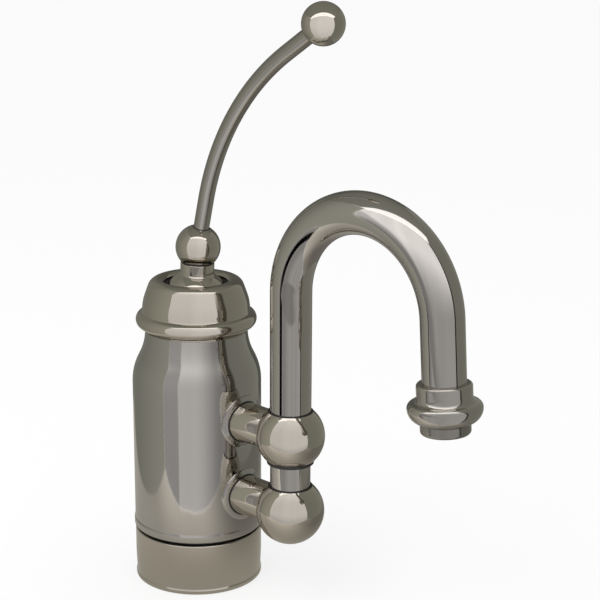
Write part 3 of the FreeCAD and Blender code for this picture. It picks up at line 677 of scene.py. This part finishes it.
@dataclass
class Cap:
    """Bell cap that screws into the neck: bead, side, crown, mouth and a black ring of painted shade
    inside.
    """

    inner: float = 19.74
    inner_top: float = 126.4
    spigot: float = 21.88
    spigot_z: float = 117.0
    neck_z: float = NECK_Z
    foot: float = 23.6
    foot_z: float = 124.9
    undercut: float = 0.2
    bead_r: float = 25.0
    bead_z: float = 129.5
    bead: float = 3.7
    bead_start: float = -70.0
    cove: float = 1.0
    wall: float = 25.6
    crown: tuple = ((24.5, 140.6), (22.6, 145.9), (18.5, 149.0), (15.0, 147.4))
    lip: tuple = ((15.2, 147.0), (15.6, 146.6), (17.6, 145.2))
    bore: float = 21.6
    bore_low: float = 128.0
    bore_top: float = 139.5
    # Outline of a black ring inside the mouth, under the lip: painted shade in the gap between the cap
    # and the dome
    wiper: tuple = ((16.2, 143.9), (19.0, 140.5), (20.0, 140.5), (20.0, 143.0), (17.3, 145.2),
                    (15.6, 146.3), (15.2, 146.4), (14.0, 145.2), (14.3, 144.5))

    def build(self) -> None:
        """Make the cap and the black ring of painted shade in its mouth."""
        out = self.wall + self.cove - self.bead_r
        turn = math.degrees(math.asin(out / (self.bead + self.cove)))
        start = math.radians(self.bead_start)
        cap = Outline(self.inner, self.spigot_z).to(
            (self.spigot, self.spigot_z), (self.spigot, self.neck_z), (self.foot, self.neck_z),
            (self.foot, self.foot_z), (self.bead_r, self.foot_z + self.undercut),
            (self.bead_r + self.bead * math.cos(start), self.bead_z + self.bead * math.sin(start)))
        cap.heading = Vector((-math.sin(start), 0.0, math.cos(start)))
        cap.bend(self.bead, 90.0 - self.bead_start - turn).bend(self.cove, turn - 90.0)
        for r, z in self.crown:
            cap.sweep(r, z)
        cap.to(*self.lip).sweep(self.bore, self.bore_top)
        cap.to((self.bore, self.bore_low), (self.inner, self.inner_top))
        Piece("bell_cap_skin", "body", Finish.NICKEL, ("bell_cap",)).finished(
            cap.turned(segments=224))
        # Black ring in the mouth that stands in for the shade there: painted shade
        *corners, start_corner = self.wiper
        ring = Outline(*start_corner).to(*corners)
        Piece("mouth_shade_ring", "body", Finish.RUBBER).finished(ring.turned(segments=128))


@dataclass
class Handle:
    """Dome joint, collar, ball, curved rod and knob of the lever."""

    pivot: float = 138.0
    lean: float = 3.7
    dome: float = 15.6
    dome_wall: float = 1.9
    hub: float = 10.4
    hub_r: float = 8.22
    rim: float = 84.0
    fillet: float = 1.6
    collar: float = 8.0
    collar_top: float = 18.9
    edge: float = 0.4
    washer: float = 0.95
    washer_in: float = 0.5
    ball_at: float = 26.4
    ball_r: float = 10.6
    rod: float = 3.7
    rod_lean: float = 13.3
    rod_in: float = 5.0
    rod_straight: float = 23.9
    rod_bend: float = 118.9
    rod_end_lean: float = 56.1
    rod_tail: float = 25.3
    knob: float = 9.5
    knob_in: float = 5.0
    seam: float = 0.35
    seam_in: float = 0.1
    seam_rise: float = 0.08
    seam_depth: float = 0.8

    @property
    def leaned(self) -> Matrix:
        """Place of what is drawn upright about the pivot."""
        lean = Matrix.Rotation(math.radians(self.lean), 4, "X")
        return Matrix.Translation((0.0, 0.0, self.pivot)) @ lean

    def build(self) -> None:
        """Make the handle's pieces."""
        self._dome()
        self._ball()
        self._rod()

    def _dome(self) -> None:
        """Hollow dome with its collar."""
        inner = self.dome - self.dome_wall
        lip = math.radians(90.0 - self.rim)
        side, reach = self.collar + self.fillet, self.dome + self.fillet
        turn = 90.0 - math.degrees(math.asin(side / reach))
        fillet_z = math.sqrt(reach ** 2 - side ** 2)
        dome = Outline(0.0, self.hub).to((self.hub_r, self.hub))
        dome.to(*((r * math.cos(lip), r * math.sin(lip)) for r in (inner, self.dome)))
        dome.heading = Vector((-math.sin(lip), 0.0, math.cos(lip)))
        dome.bend(self.dome, turn - (90.0 - self.rim)).bend(self.fillet, -turn)
        dome.to((self.collar, max(fillet_z, self.collar_top - self.edge))).bend(self.edge, 90.0)
        dome.to((0.0, self.collar_top))
        Piece("lever_dome", "handle", Finish.NICKEL, ("handle_dome",), self.leaned).finished(
            dome.turned(segments=128))

    def _ball(self) -> None:
        """Ball on the collar, over its dark washer."""
        flat = self.collar_top + self.washer
        solid = ball(self.ball_r)
        bmesh.ops.translate(solid, verts=solid.verts, vec=UP * self.ball_at)
        cut_flat(solid, UP * flat, -UP)
        Piece("lever_ball", "handle", Finish.NICKEL, ("handle_ball",), self.leaned).finished(solid)
        radius = self.collar - self.washer_in
        disc = Outline(0.0, self.collar_top)
        disc.to((radius, self.collar_top), (radius, flat), (0.0, flat))
        Piece("collar_washer", "handle", Finish.BLACK_PLASTIC, ("ball_washer",),
              self.leaned).finished(disc.turned(segments=96))

    def _rod(self) -> None:
        """Curved rod, knob and the dark seams where the rod goes in."""
        lean0, lean1 = math.radians(self.rod_lean), math.radians(self.rod_end_lean)
        centre = self.leaned @ (UP * self.ball_at)
        way0, way1 = (Vector((0.0, -math.sin(a), math.cos(a))) for a in (lean0, lean1))
        out0, out1 = (Vector((0.0, math.cos(a), math.sin(a))) * self.rod_bend for a in (lean0, lean1))
        bend = centre + way0 * self.rod_straight
        pole = bend - out0
        knob = pole + out1 + way1 * self.rod_tail
        rod = Bent(self.rod, centre + way0 * self.rod_in, bend, pole, lean1 - lean0,
                   self.rod_tail - self.knob + self.knob_in, segments=48, rows=48)
        Piece("lever_rod", "handle", Finish.ROD_NICKEL, ("handle_rod",)).finished(rod.solid())
        Piece("lever_knob", "handle", Finish.NICKEL, ("handle_knob",), aimed(knob, way1)).finished(
            ball(self.knob, segments=80))
        self._seam("ball_seam", centre, way0, self.ball_r)
        self._seam("knob_seam", knob, -way1, self.knob)

    def _seam(self, name: str, centre: Vector, way: Vector, radius: float) -> None:
        """Dark line where the rod goes into a ball.

        Args:
            name: The piece's name.
            centre: The ball's centre.
            way: Direction of the rod out of the ball.
            radius: The ball's radius.
        """
        inner, outer = self.rod - self.seam_in, self.rod + self.seam
        top = math.sqrt(radius ** 2 - self.rod ** 2) + self.seam_rise
        low = top - self.seam_depth
        ring = Outline(inner, low).to((outer, low), (outer, top), (inner, top))
        Piece(name, "handle", Finish.RUBBER, place=aimed(centre, way)).finished(
            ring.turned(segments=64))


@dataclass
class Arms:
    """Two side arms with their parting rings and ball ends."""

    shell_r: float = BODY_RADIUS
    root: float = 27.6
    seat: float = 0.6
    washer: float = 0.7
    washer_r: float = 10.0
    inner_r: float = 9.65
    outer_r: float = 9.0
    spigot: float = 6.9
    ball_r: float = 15.9
    edge: float = 0.25
    plug: float = 0.3
    post_y: float = POST_Y
    top_bore: float = 10.47
    low_bore: float = 10.28
    # Inner radius and half height of the black ring under the upper ball: painted shade at the ball's
    # lower opening
    seal_r: float = 9.6
    seal: float = 0.6

    def build(self) -> None:
        """Make both arms."""
        self._arm("upper", self.top_bore, self.low_bore)
        self._arm("lower", self.low_bore, 0.0)

    def _arm(self, side: str, top_bore: float, low_bore: float) -> None:
        """Make an arm, its parting ring and its ball.

        Args:
            side: Which arm, upper or lower.
            top_bore: Radius of the ball's hole above.
            low_bore: Radius of the hole below, or 0.
        """
        z = ARM_HEIGHTS[side]
        end = -self.post_y - math.sqrt(self.ball_r ** 2 - self.outer_r ** 2)
        inside = end + self.plug
        tube = Outline(0.0, self.root).to((self.inner_r - self.edge, self.root)).bend(self.edge, 90.0)
        tube.to((self.outer_r, end - self.edge), (self.outer_r - self.edge, inside), (0.0, inside))
        Piece(f"{side}_arm_tube", "body", Finish.NICKEL, (f"{side}_arm",), forward_at(z)).finished(
            tube.turned(segments=112))
        face = self.seat + self.washer
        ring = saddle([(self.washer_r, self.seat), (self.washer_r, face), (self.spigot, face)],
                      self.shell_r, z)
        Piece(f"{side}_parting_ring", "body", Finish.BLACK_PLASTIC,
              (f"{side}_arm_washer",)).finished(ring)
        self._ball(side, z, top_bore, low_bore)

    def _ball(self, side: str, z: float, top_bore: float, low_bore: float) -> None:
        """Make an arm's ball with its bores, and under the upper ball a black ring of painted shade.

        Args:
            side: Which arm.
            z: Height of the ball's centre.
            top_bore: Radius of the hole above.
            low_bore: Radius of the hole below, or 0.
        """
        top = math.sqrt(self.ball_r ** 2 - top_bore ** 2)
        low = -math.sqrt(self.ball_r ** 2 - low_bore ** 2)
        shell = Outline(low_bore, low)
        shell.heading = Vector((-low, 0.0, low_bore)).normalized()
        shell.sweep(top_bore, top).to((top_bore, 0.0), (low_bore, 0.0))
        place = Matrix.Translation((0.0, self.post_y, z))
        # Black ring where the upper ball meets the post: painted shade at its lower opening
        if low_bore:
            outer, under, over = low_bore + self.seal, low - self.seal, low + self.seal
            seal = Outline(self.seal_r, under).to((outer, under), (outer, over), (self.seal_r, over))
            Piece(f"{side}_ball_shade_ring", "body", Finish.BLACK_PLASTIC, place=place).finished(
                seal.turned(segments=112))
        Piece(f"{side}_ball_skin", "body", Finish.NICKEL, (f"{side}_ball",), place).finished(
            shell.turned(segments=144))


@dataclass
class Spout:
    """Post between the balls and the gooseneck over them."""

    post_y: float = POST_Y
    post_r: float = 9.35
    post_low: float = 55.0
    joint_z: float = 80.0
    tube_r: float = 9.525
    bend_z: float = 152.9
    bend_r: float = 42.0
    sweep: float = 176.0
    leg: float = 32.0

    def build(self) -> None:
        """Make the post and the gooseneck."""
        post = Outline(0.0, self.post_low).to((self.post_r, self.post_low), (self.post_r, self.joint_z),
                                              (0.0, self.joint_z))
        place = Matrix.Translation((0.0, self.post_y, 0.0))
        Piece("spout_post_skin", "spout", Finish.TUBE_NICKEL, ("spout_post",), place).finished(
            post.turned(segments=112))
        start = Vector((0.0, self.post_y, self.joint_z))
        bend = Vector((0.0, self.post_y, self.bend_z))
        centre = bend - Vector((0.0, self.bend_r, 0.0))
        neck = Bent(self.tube_r, start, bend, centre, math.radians(self.sweep), self.leg,
                    segments=96, rows=110)
        Piece("gooseneck", "spout", Finish.TUBE_NICKEL, ("spout_tube",)).finished(neck.solid())

    @property
    def outlet(self) -> Matrix:
        """Place of what is drawn downwards from the bend's end."""
        a = math.radians(self.sweep)
        out, rise = self.bend_r * (1 - math.cos(a)), self.bend_r * math.sin(a)
        end = (0.0, self.post_y - out, self.bend_z + rise)
        return Matrix.Translation(end) @ Matrix.Rotation(a - math.pi, 4, "X")


@dataclass
class Outlet:
    """Turned collar with its bead, and the aerator below it."""

    place: Matrix
    bore: float = 9.545
    top: float = 26.8
    radius: float = 12.0
    rim: float = 1.2
    waist: float = 32.03
    cove: float = 3.0
    bead: float = 2.67
    turn: float = 75.0
    end: float = 44.0
    thread: float = 10.22
    aerator: float = 10.9
    aerator_bore: float = 8.8
    aerator_top: float = 36.5
    aerator_end: float = 49.0
    aerator_edge: float = 1.6
    seam: float = 0.2
    fit: float = 0.02
    lip: float = 0.9
    lip_rise: float = 1.2

    def build(self) -> None:
        """Make the outlet's pieces."""
        collar = Outline(self.bore, -self.top).to((self.radius - self.rim, -self.top))
        collar.bend(self.rim, -90.0).to((self.radius, -self.waist))
        collar.bend(self.cove, self.turn).bend(self.bead, -self.turn)
        collar.sweep(self.aerator, -self.end)
        collar.to((self.thread, -self.end), (self.thread, -self.aerator_top),
                  (self.bore, -self.aerator_top))
        Piece("outlet_bead", "spout", Finish.BEAD_NICKEL, ("outlet_collar",), self.place).finished(
            collar.turned(segments=144))
        thread, lip = self.thread - self.fit, self.aerator_bore - self.lip
        top, seam, end = -self.aerator_top, -self.end - self.seam, -self.aerator_end
        cup = Outline(self.aerator_bore, top).to((thread, top), (thread, seam), (self.aerator, seam),
                                                 (self.aerator, end + self.aerator_edge))
        cup.bend(self.aerator_edge, -self.turn)
        cup.to((lip, end), (lip, end + self.lip_rise), (self.aerator_bore, end + self.lip_rise))
        Piece("aerator_cup", "spout", Finish.AERATOR_METAL, ("aerator_housing",),
              self.place).finished(cup.turned(segments=112))


class Carried:
    """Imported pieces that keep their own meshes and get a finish."""

    def build(self) -> None:
        """Dress every node by its slot."""
        for part in frame["record"]["subparts"]:
            finish = Finish[part["material_slot"].upper()]
            for slot in frame["nodes"][part["node"]].material_slots:
                slot.material = finish.material
            log.info("%s dressed as %s", part["node"], part["material_slot"])


# The studio


@dataclass(frozen=True)
class Fade:
    """Change of a card's glow from one level to another along a direction of the photograph."""

    along: tuple
    span: tuple
    levels: tuple

    def level(self, recipe: Recipe, places: bpy.types.NodeSocket) -> Value:
        """Work out the level.

        Args:
            recipe: The card's node tree.
            places: Object coordinates.

        Returns:
            The level at each place.
        """
        way = tuple(PHOTO_TURN @ Vector(self.along))
        dot = recipe.node("ShaderNodeVectorMath", {0: places, 1: way}, operation="DOT_PRODUCT")
        inputs = {"Value": dot.outputs["Value"],
                  "From Min": self.span[0] * MM, "From Max": self.span[1] * MM,
                  "To Min": self.levels[0], "To Max": self.levels[1]}
        fade = recipe.node("ShaderNodeMapRange", inputs, interpolation_type="SMOOTHSTEP")
        return Value(recipe, fade.outputs[0])


@dataclass(frozen=True)
class Card:
    """A plain studio card that the metal reflects, placed along the photograph's own directions."""

    name: str
    centre: tuple
    size: tuple
    facing: tuple
    fades: tuple = ()
    glow: float = 1.0
    tint: tuple = (0.985, 1.0, 0.875)
    folds: float = 0.0
    sheer: bool = False

    FOLD_SIZE = 38.0
    FOLD_STRETCH = (1.0, 1.0, 14.0)

    def build(self, unlit: tuple = (), lit: tuple = ()) -> None:
        """Make the card, unseen by the camera.

        Args:
            unlit: Pieces that its glow doesn't reach.
            lit: Pieces that alone get its glow.
        """
        bm = bmesh.new()
        bmesh.ops.create_grid(bm, x_segments=1, y_segments=1, size=0.5)
        bmesh.ops.scale(bm, verts=bm.verts, vec=(self.size[0], self.size[1], 1.0))
        turn = Vector(self.facing).to_track_quat("Z", "Y").to_matrix().to_4x4()
        place = Matrix.Scale(MM, 4) @ PHOTO_TURN @ Matrix.Translation(self.centre) @ turn
        bmesh.ops.transform(bm, matrix=place, verts=bm.verts)
        card = added(self.name, bm, self._cloth())
        card.visible_camera = card.visible_shadow = card.visible_diffuse = False
        if unlit or lit:
            linked = bpy.data.collections.new(f"{self.name}_pieces")
            for piece in unlit or lit:
                linked.objects.link(bpy.data.objects[piece])
            for member in linked.collection_objects:
                member.light_linking.link_state = "EXCLUDE" if unlit else "INCLUDE"
            card.light_linking.receiver_collection = linked

    def _cloth(self) -> bpy.types.Material:
        """Glowing cloth, sheer where it only adds to the card behind it."""
        material, recipe = fresh_material(self.name)
        places = recipe.places()
        level = self.glow
        for fade in self.fades:
            level = level * fade.level(recipe, places)
        if self.folds:
            folded = recipe.noise(self.FOLD_SIZE, detail=2.0, stretch=self.FOLD_STRETCH)
            level = level * (1.0 - self.folds / 2 + self.folds * folded)
        shader = recipe.node("ShaderNodeEmission", {"Color": (*self.tint, 1.0), "Strength": level})
        if self.sheer:
            clear = recipe.node("ShaderNodeBsdfTransparent")
            shader = recipe.node("ShaderNodeAddShader", {0: clear.outputs[0], 1: shader.outputs[0]})
        recipe.end(shader)
        return material


@dataclass(frozen=True)
class Cloths:
    """Sheer cloths that hang a step in front of the window's backing."""

    step: float
    folds: float
    fades: tuple = ()
    glow: float = 1.0


@dataclass
class Studio:
    """Pale floor, soft lamp and the tent of cards round the faucet.

    Places are distances rightwards and away in the photograph's directions. The window in front
    shows its own cloths to the tubes, of which the arms are some, and to the shell. The other
    pieces see the plain cloths.
    """

    tubes: tuple
    arms: tuple
    shell: tuple
    floor_size: float = 14.0
    floor_colour: tuple = (0.92, 0.92, 0.92, 1.0)
    floor_glow: float = 0.75
    world_light: float = 0.9
    lamp_size: tuple = (0.9, 0.7)
    lamp_power: float = 5.0
    lamp_place: tuple = (-0.5, -0.6, 1.1)
    low: float = -5.0
    left: float = -150.0
    right: float = 205.0
    front: float = -146.0
    back: float = 250.0
    roof: float = 365.0
    dusk_right: float = 178.0
    corner: tuple = (-68.0, -136.0)
    corner_end: tuple = (-168.0, -126.0)
    bay: tuple = (-150.0, -50.0)
    knee: float = -30.0
    shade_start: tuple = (-118.0, -131.0)
    shade_end: tuple = (-60.0, -138.1)
    shade_top: float = 112.0
    roof_edge: float = -100.0
    roof_drop: float = 1.0
    roof_glow: float = 1.75
    table_lift: float = 0.3
    table_more: float = 40.0
    window_tint: tuple = (0.995, 0.995, 1.0)
    table_tint: tuple = (1.0, 0.965, 0.87)

    WHITE = (1.0, 1.0, 1.0, 1.0)
    PLAIN = Cloths(1.0, 0.1, (
        Fade(HIGHER, (0.0, 60.0), (0.64, 0.85)), Fade(HIGHER, (100.0, 300.0), (1.0, 1.22)),
        Fade(RIGHTWARDS, (-60.0, 50.0), (0.92, 1.0))))
    SHELL_CORNER = Cloths(2.0, 0.1, (
        Fade(HIGHER, (0.0, 165.0), (0.43, 0.5)), Fade(HIGHER, (165.0, 300.0), (1.0, 2.2))))
    SHELL_FRONT = Cloths(2.0, 0.1, (
        Fade(HIGHER, (90.0, 300.0), (0.71, 1.3)), Fade(RIGHTWARDS, (-10.0, 130.0), (1.0, 0.43))))
    TUBES_LOW = Cloths(3.0, 0.6, (Fade(RIGHTWARDS, (-20.0, 60.0), (0.35, 0.48)),))
    TUBES_HIGH = Cloths(3.0, 0.4, (
        Fade(HIGHER, (150.0, 228.0), (0.48, 1.25)), Fade((0.6, 0, 0.8), (125.0, 160.0), (0.6, 1.0))))
    ARMS_LOW = Cloths(3.0, 0.3, glow=0.3)
    NEAR_WALL = (Fade(AWAY, (-126.0, 130.0), (0.41, 0.25)),)
    RIGHT_WALL = (Fade(AWAY, (-146.0, 250.0), (0.24, 0.3)),)
    BACK_WALL = (Fade(RIGHTWARDS, (-150.0, 0.0), (0.22, 0.12)),)
    ROOF = (Fade(AWAY, (-146.0, 250.0), (0.28, 0.18)),)
    # Table card's glow: lower towards the faucet and to its right, the faucet's shadow painted in, and
    # brighter on the left
    TABLE = (Fade(AWAY, (-150.0, -40.0), (0.69, 0.41)), Fade(RIGHTWARDS, (-130.0, -10.0), (1.2, 1.0)),
             Fade(RIGHTWARDS, (20.0, 130.0), (1.0, 0.5)))

    def build(self) -> None:
        """Make the floor, the world, the lamp and the cards."""
        self._floor()
        self._world()
        self._lamp()
        self._window()
        self._tent()
        bpy.context.scene.view_settings.view_transform = "Standard"

    @staticmethod
    def _seen(recipe: Recipe) -> Value:
        """1 for a ray that comes from the camera, off gloss or through glass, else 0."""
        path = recipe.node("ShaderNodeLightPath")
        camera, gloss, glass = (Value(recipe, path.outputs[name]) for name in (
            "Is Camera Ray", "Is Glossy Ray", "Is Transmission Ray"))
        return camera + gloss + glass

    def _floor(self) -> None:
        """Pale floor that keeps the faucet's shadow."""
        bm = bmesh.new()
        bmesh.ops.create_grid(bm, x_segments=1, y_segments=1, size=self.floor_size / 2)
        material, recipe = fresh_material("pale_floor")
        matt = recipe.node("ShaderNodeBsdfDiffuse", {"Color": self.floor_colour})
        glow = recipe.node("ShaderNodeEmission", {"Color": self.WHITE, "Strength": 1.0})
        share = self._seen(recipe) * self.floor_glow
        inputs = {0: share, 1: matt.outputs[0], 2: glow.outputs[0]}
        recipe.end(recipe.node("ShaderNodeMixShader", inputs))
        added("floor", bm, material)

    def _world(self) -> None:
        """White surroundings that light the scene at a plain level."""
        world = bpy.data.worlds.new("studio")
        bpy.context.scene.world = world
        world.use_nodes = True
        recipe = Recipe(world.node_tree)
        shown, light = (recipe.node("ShaderNodeBackground", {"Color": self.WHITE, "Strength": strength})
                        for strength in (1.0, self.world_light))
        inputs = {0: self._seen(recipe), 1: light.outputs[0], 2: shown.outputs[0]}
        recipe.end(recipe.node("ShaderNodeMixShader", inputs), "ShaderNodeOutputWorld")

    def _lamp(self) -> None:
        """Soft key lamp above the front."""
        lamp = bpy.data.lights.new("key", "AREA")
        lamp.shape = "RECTANGLE"
        lamp.size, lamp.size_y = self.lamp_size
        lamp.energy = self.lamp_power
        key = bpy.data.objects.new("key", lamp)
        place = PHOTO_TURN @ Vector(self.lamp_place)
        aim = (-place).to_track_quat("-Z", "Y").to_matrix().to_4x4()
        key.matrix_world = Matrix.Translation(place) @ aim
        key.visible_camera = key.visible_glossy = False
        bpy.context.scene.collection.objects.link(key)

    @staticmethod
    def _panel(name: str, ends: tuple, heights: tuple, **more: object) -> Card:
        """Plan an upright card between two places on the table.

        Args:
            name: The card's name.
            ends: Its two ends; it faces left of the way from the first to the second.
            heights: Its lowest and highest edge.
            more: Other fields of the card.

        Returns:
            The card, not built yet.
        """
        (u0, v0), (u1, v1) = ends
        width, height = math.hypot(u1 - u0, v1 - v0), heights[1] - heights[0]
        centre = ((u0 + u1) / 2, (v0 + v1) / 2, (heights[0] + heights[1]) / 2)
        return Card(name, centre, (width, height), (v0 - v1, u1 - u0, 0.0), **more)

    def _window(self) -> None:
        """Window in front and above: dark backing, and each group's cloths before it."""
        low, high, tall = (self.low, self.shade_top), (self.shade_top, self.roof), (self.low, self.roof)
        start, end = self.shade_start, self.shade_end
        knee, right, dusk = ((u, self.front) for u in (self.knee, self.right, self.dusk_right))
        front = (("corner", self.corner_end, self.corner), ("left", self.corner, knee),
                 ("right", knee, right))
        for name, *ends in front:
            self._panel(f"window_{name}_backing", ends, tall, glow=0.0).build()
        self._hang(self.PLAIN, front, tall, unlit=self.tubes + self.shell)
        self._hang(self.SHELL_CORNER, front[:1], tall, lit=self.shell)
        self._hang(self.SHELL_FRONT, front[1:], tall, lit=self.shell)
        self._hang(self.TUBES_LOW, (("low_corner", self.corner_end, start), ("low_left", end, knee),
                                    ("low_right", knee, dusk)), low, lit=self.tubes)
        self._hang(self.TUBES_HIGH, (("high_corner", self.corner_end, self.corner),
                                     ("high_left", self.corner, knee),
                                     ("high_right", knee, dusk)), high, lit=self.tubes)
        self._hang(self.ARMS_LOW, (("low_shade", start, end),), low, lit=self.arms)
        middle = (self.left + self.right) / 2, (self.front + self.roof_edge) / 2
        Card("window_roof", (*middle, self.roof - self.roof_drop),
             (self.right - self.left, self.roof_edge - self.front), (0, 0, -1), glow=self.roof_glow,
             tint=self.window_tint).build()

    def _hang(self, cloths: Cloths, spans: tuple, heights: tuple, lit: tuple = (),
              unlit: tuple = ()) -> None:
        """Hang sheer cloths in front of the backing.

        Args:
            cloths: The kind of cloths.
            spans: Name and two ends of each cloth.
            heights: Bottom and top.
            lit: Pieces that alone see the cloths.
            unlit: Pieces that don't see them.
        """
        for name, *ends in spans:
            nearer = tuple((u, v + cloths.step) for u, v in ends)
            card = self._panel(f"cloth_{cloths.step:.0f}_{name}", nearer, heights,
                               fades=cloths.fades, glow=cloths.glow, tint=self.window_tint,
                               folds=cloths.folds, sheer=True)
            card.build(unlit, lit)

    def _tent(self) -> None:
        """Grey cloth at the sides, behind and above, and the table card with the faucet's shadow
        painted into its glow.
        """
        tall, wide, deep = (self.low, self.roof), self.right - self.left, self.back - self.front
        middle = (self.right + self.left) / 2, (self.back + self.front) / 2
        far_right, far_left = (self.right, self.back), (self.left, self.back)
        walls = (("left", (far_left, self.bay), self.NEAR_WALL),
                 ("bay", (self.bay, self.corner_end), self.NEAR_WALL),
                 ("right", ((self.right, self.front), far_right), self.RIGHT_WALL),
                 ("back", (far_right, far_left), self.BACK_WALL))
        for name, ends, fades in walls:
            self._panel(f"wall_{name}", ends, tall, fades=fades).build()
        Card("roof", (*middle, self.roof), (wide, deep), (0, 0, -1), self.ROOF).build()
        # The table card's glow, darker near the faucet and to its right, is painted shadow
        Card("table", (*middle, self.table_lift), (wide + self.table_more, deep), HIGHER, self.TABLE,
             tint=self.table_tint).build()


@dataclass
class PhotoCamera:
    """Camera at the photograph's viewing angle."""

    place: tuple = (-0.52504, -0.52484, 0.33999)
    pitch: float = -15.226
    roll: float = 0.343
    lens: float = 97.2
    sensor: float = 36.0
    clip: tuple = (0.01, 50.0)

    def build(self) -> None:
        """Make the camera and give it to the scene."""
        data = bpy.data.cameras.new("photo_camera")
        data.lens, data.sensor_width = self.lens, self.sensor
        data.clip_start, data.clip_end = self.clip
        camera = bpy.data.objects.new("photo_camera", data)
        tip = Matrix.Rotation(math.radians(90.0 + self.pitch), 4, "X")
        lean = Matrix.Rotation(math.radians(self.roll), 4, "Z")
        camera.matrix_world = Matrix.Translation(self.place) @ PHOTO_TURN @ tip @ lean
        bpy.context.scene.collection.objects.link(camera)
        bpy.context.scene.camera = camera


def main() -> None:
    """Build the faucet, the studio and the camera."""
    logging.basicConfig(level=logging.INFO, format="%(name)s: %(message)s")
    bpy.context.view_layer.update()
    PhotoCamera().build()
    Carried().build()
    spout = Spout()
    for assembly in (Foot(), Body(), Cap(), Handle(), Arms(), spout, Outlet(spout.outlet)):
        assembly.build()
        log.info("%s built", type(assembly).__name__)
    sides = (f"{side}_{piece}" for side in ARM_HEIGHTS for piece in ("arm_tube", "boss"))
    arms = "spout_post_skin", *sides
    tubes = "gooseneck", "outlet_bead", "aerator_cup", "lever_dome", *arms
    Studio(tubes, arms, ("body_bottle", "lever_rod")).build()


if __name__ == "__main__":
    main()
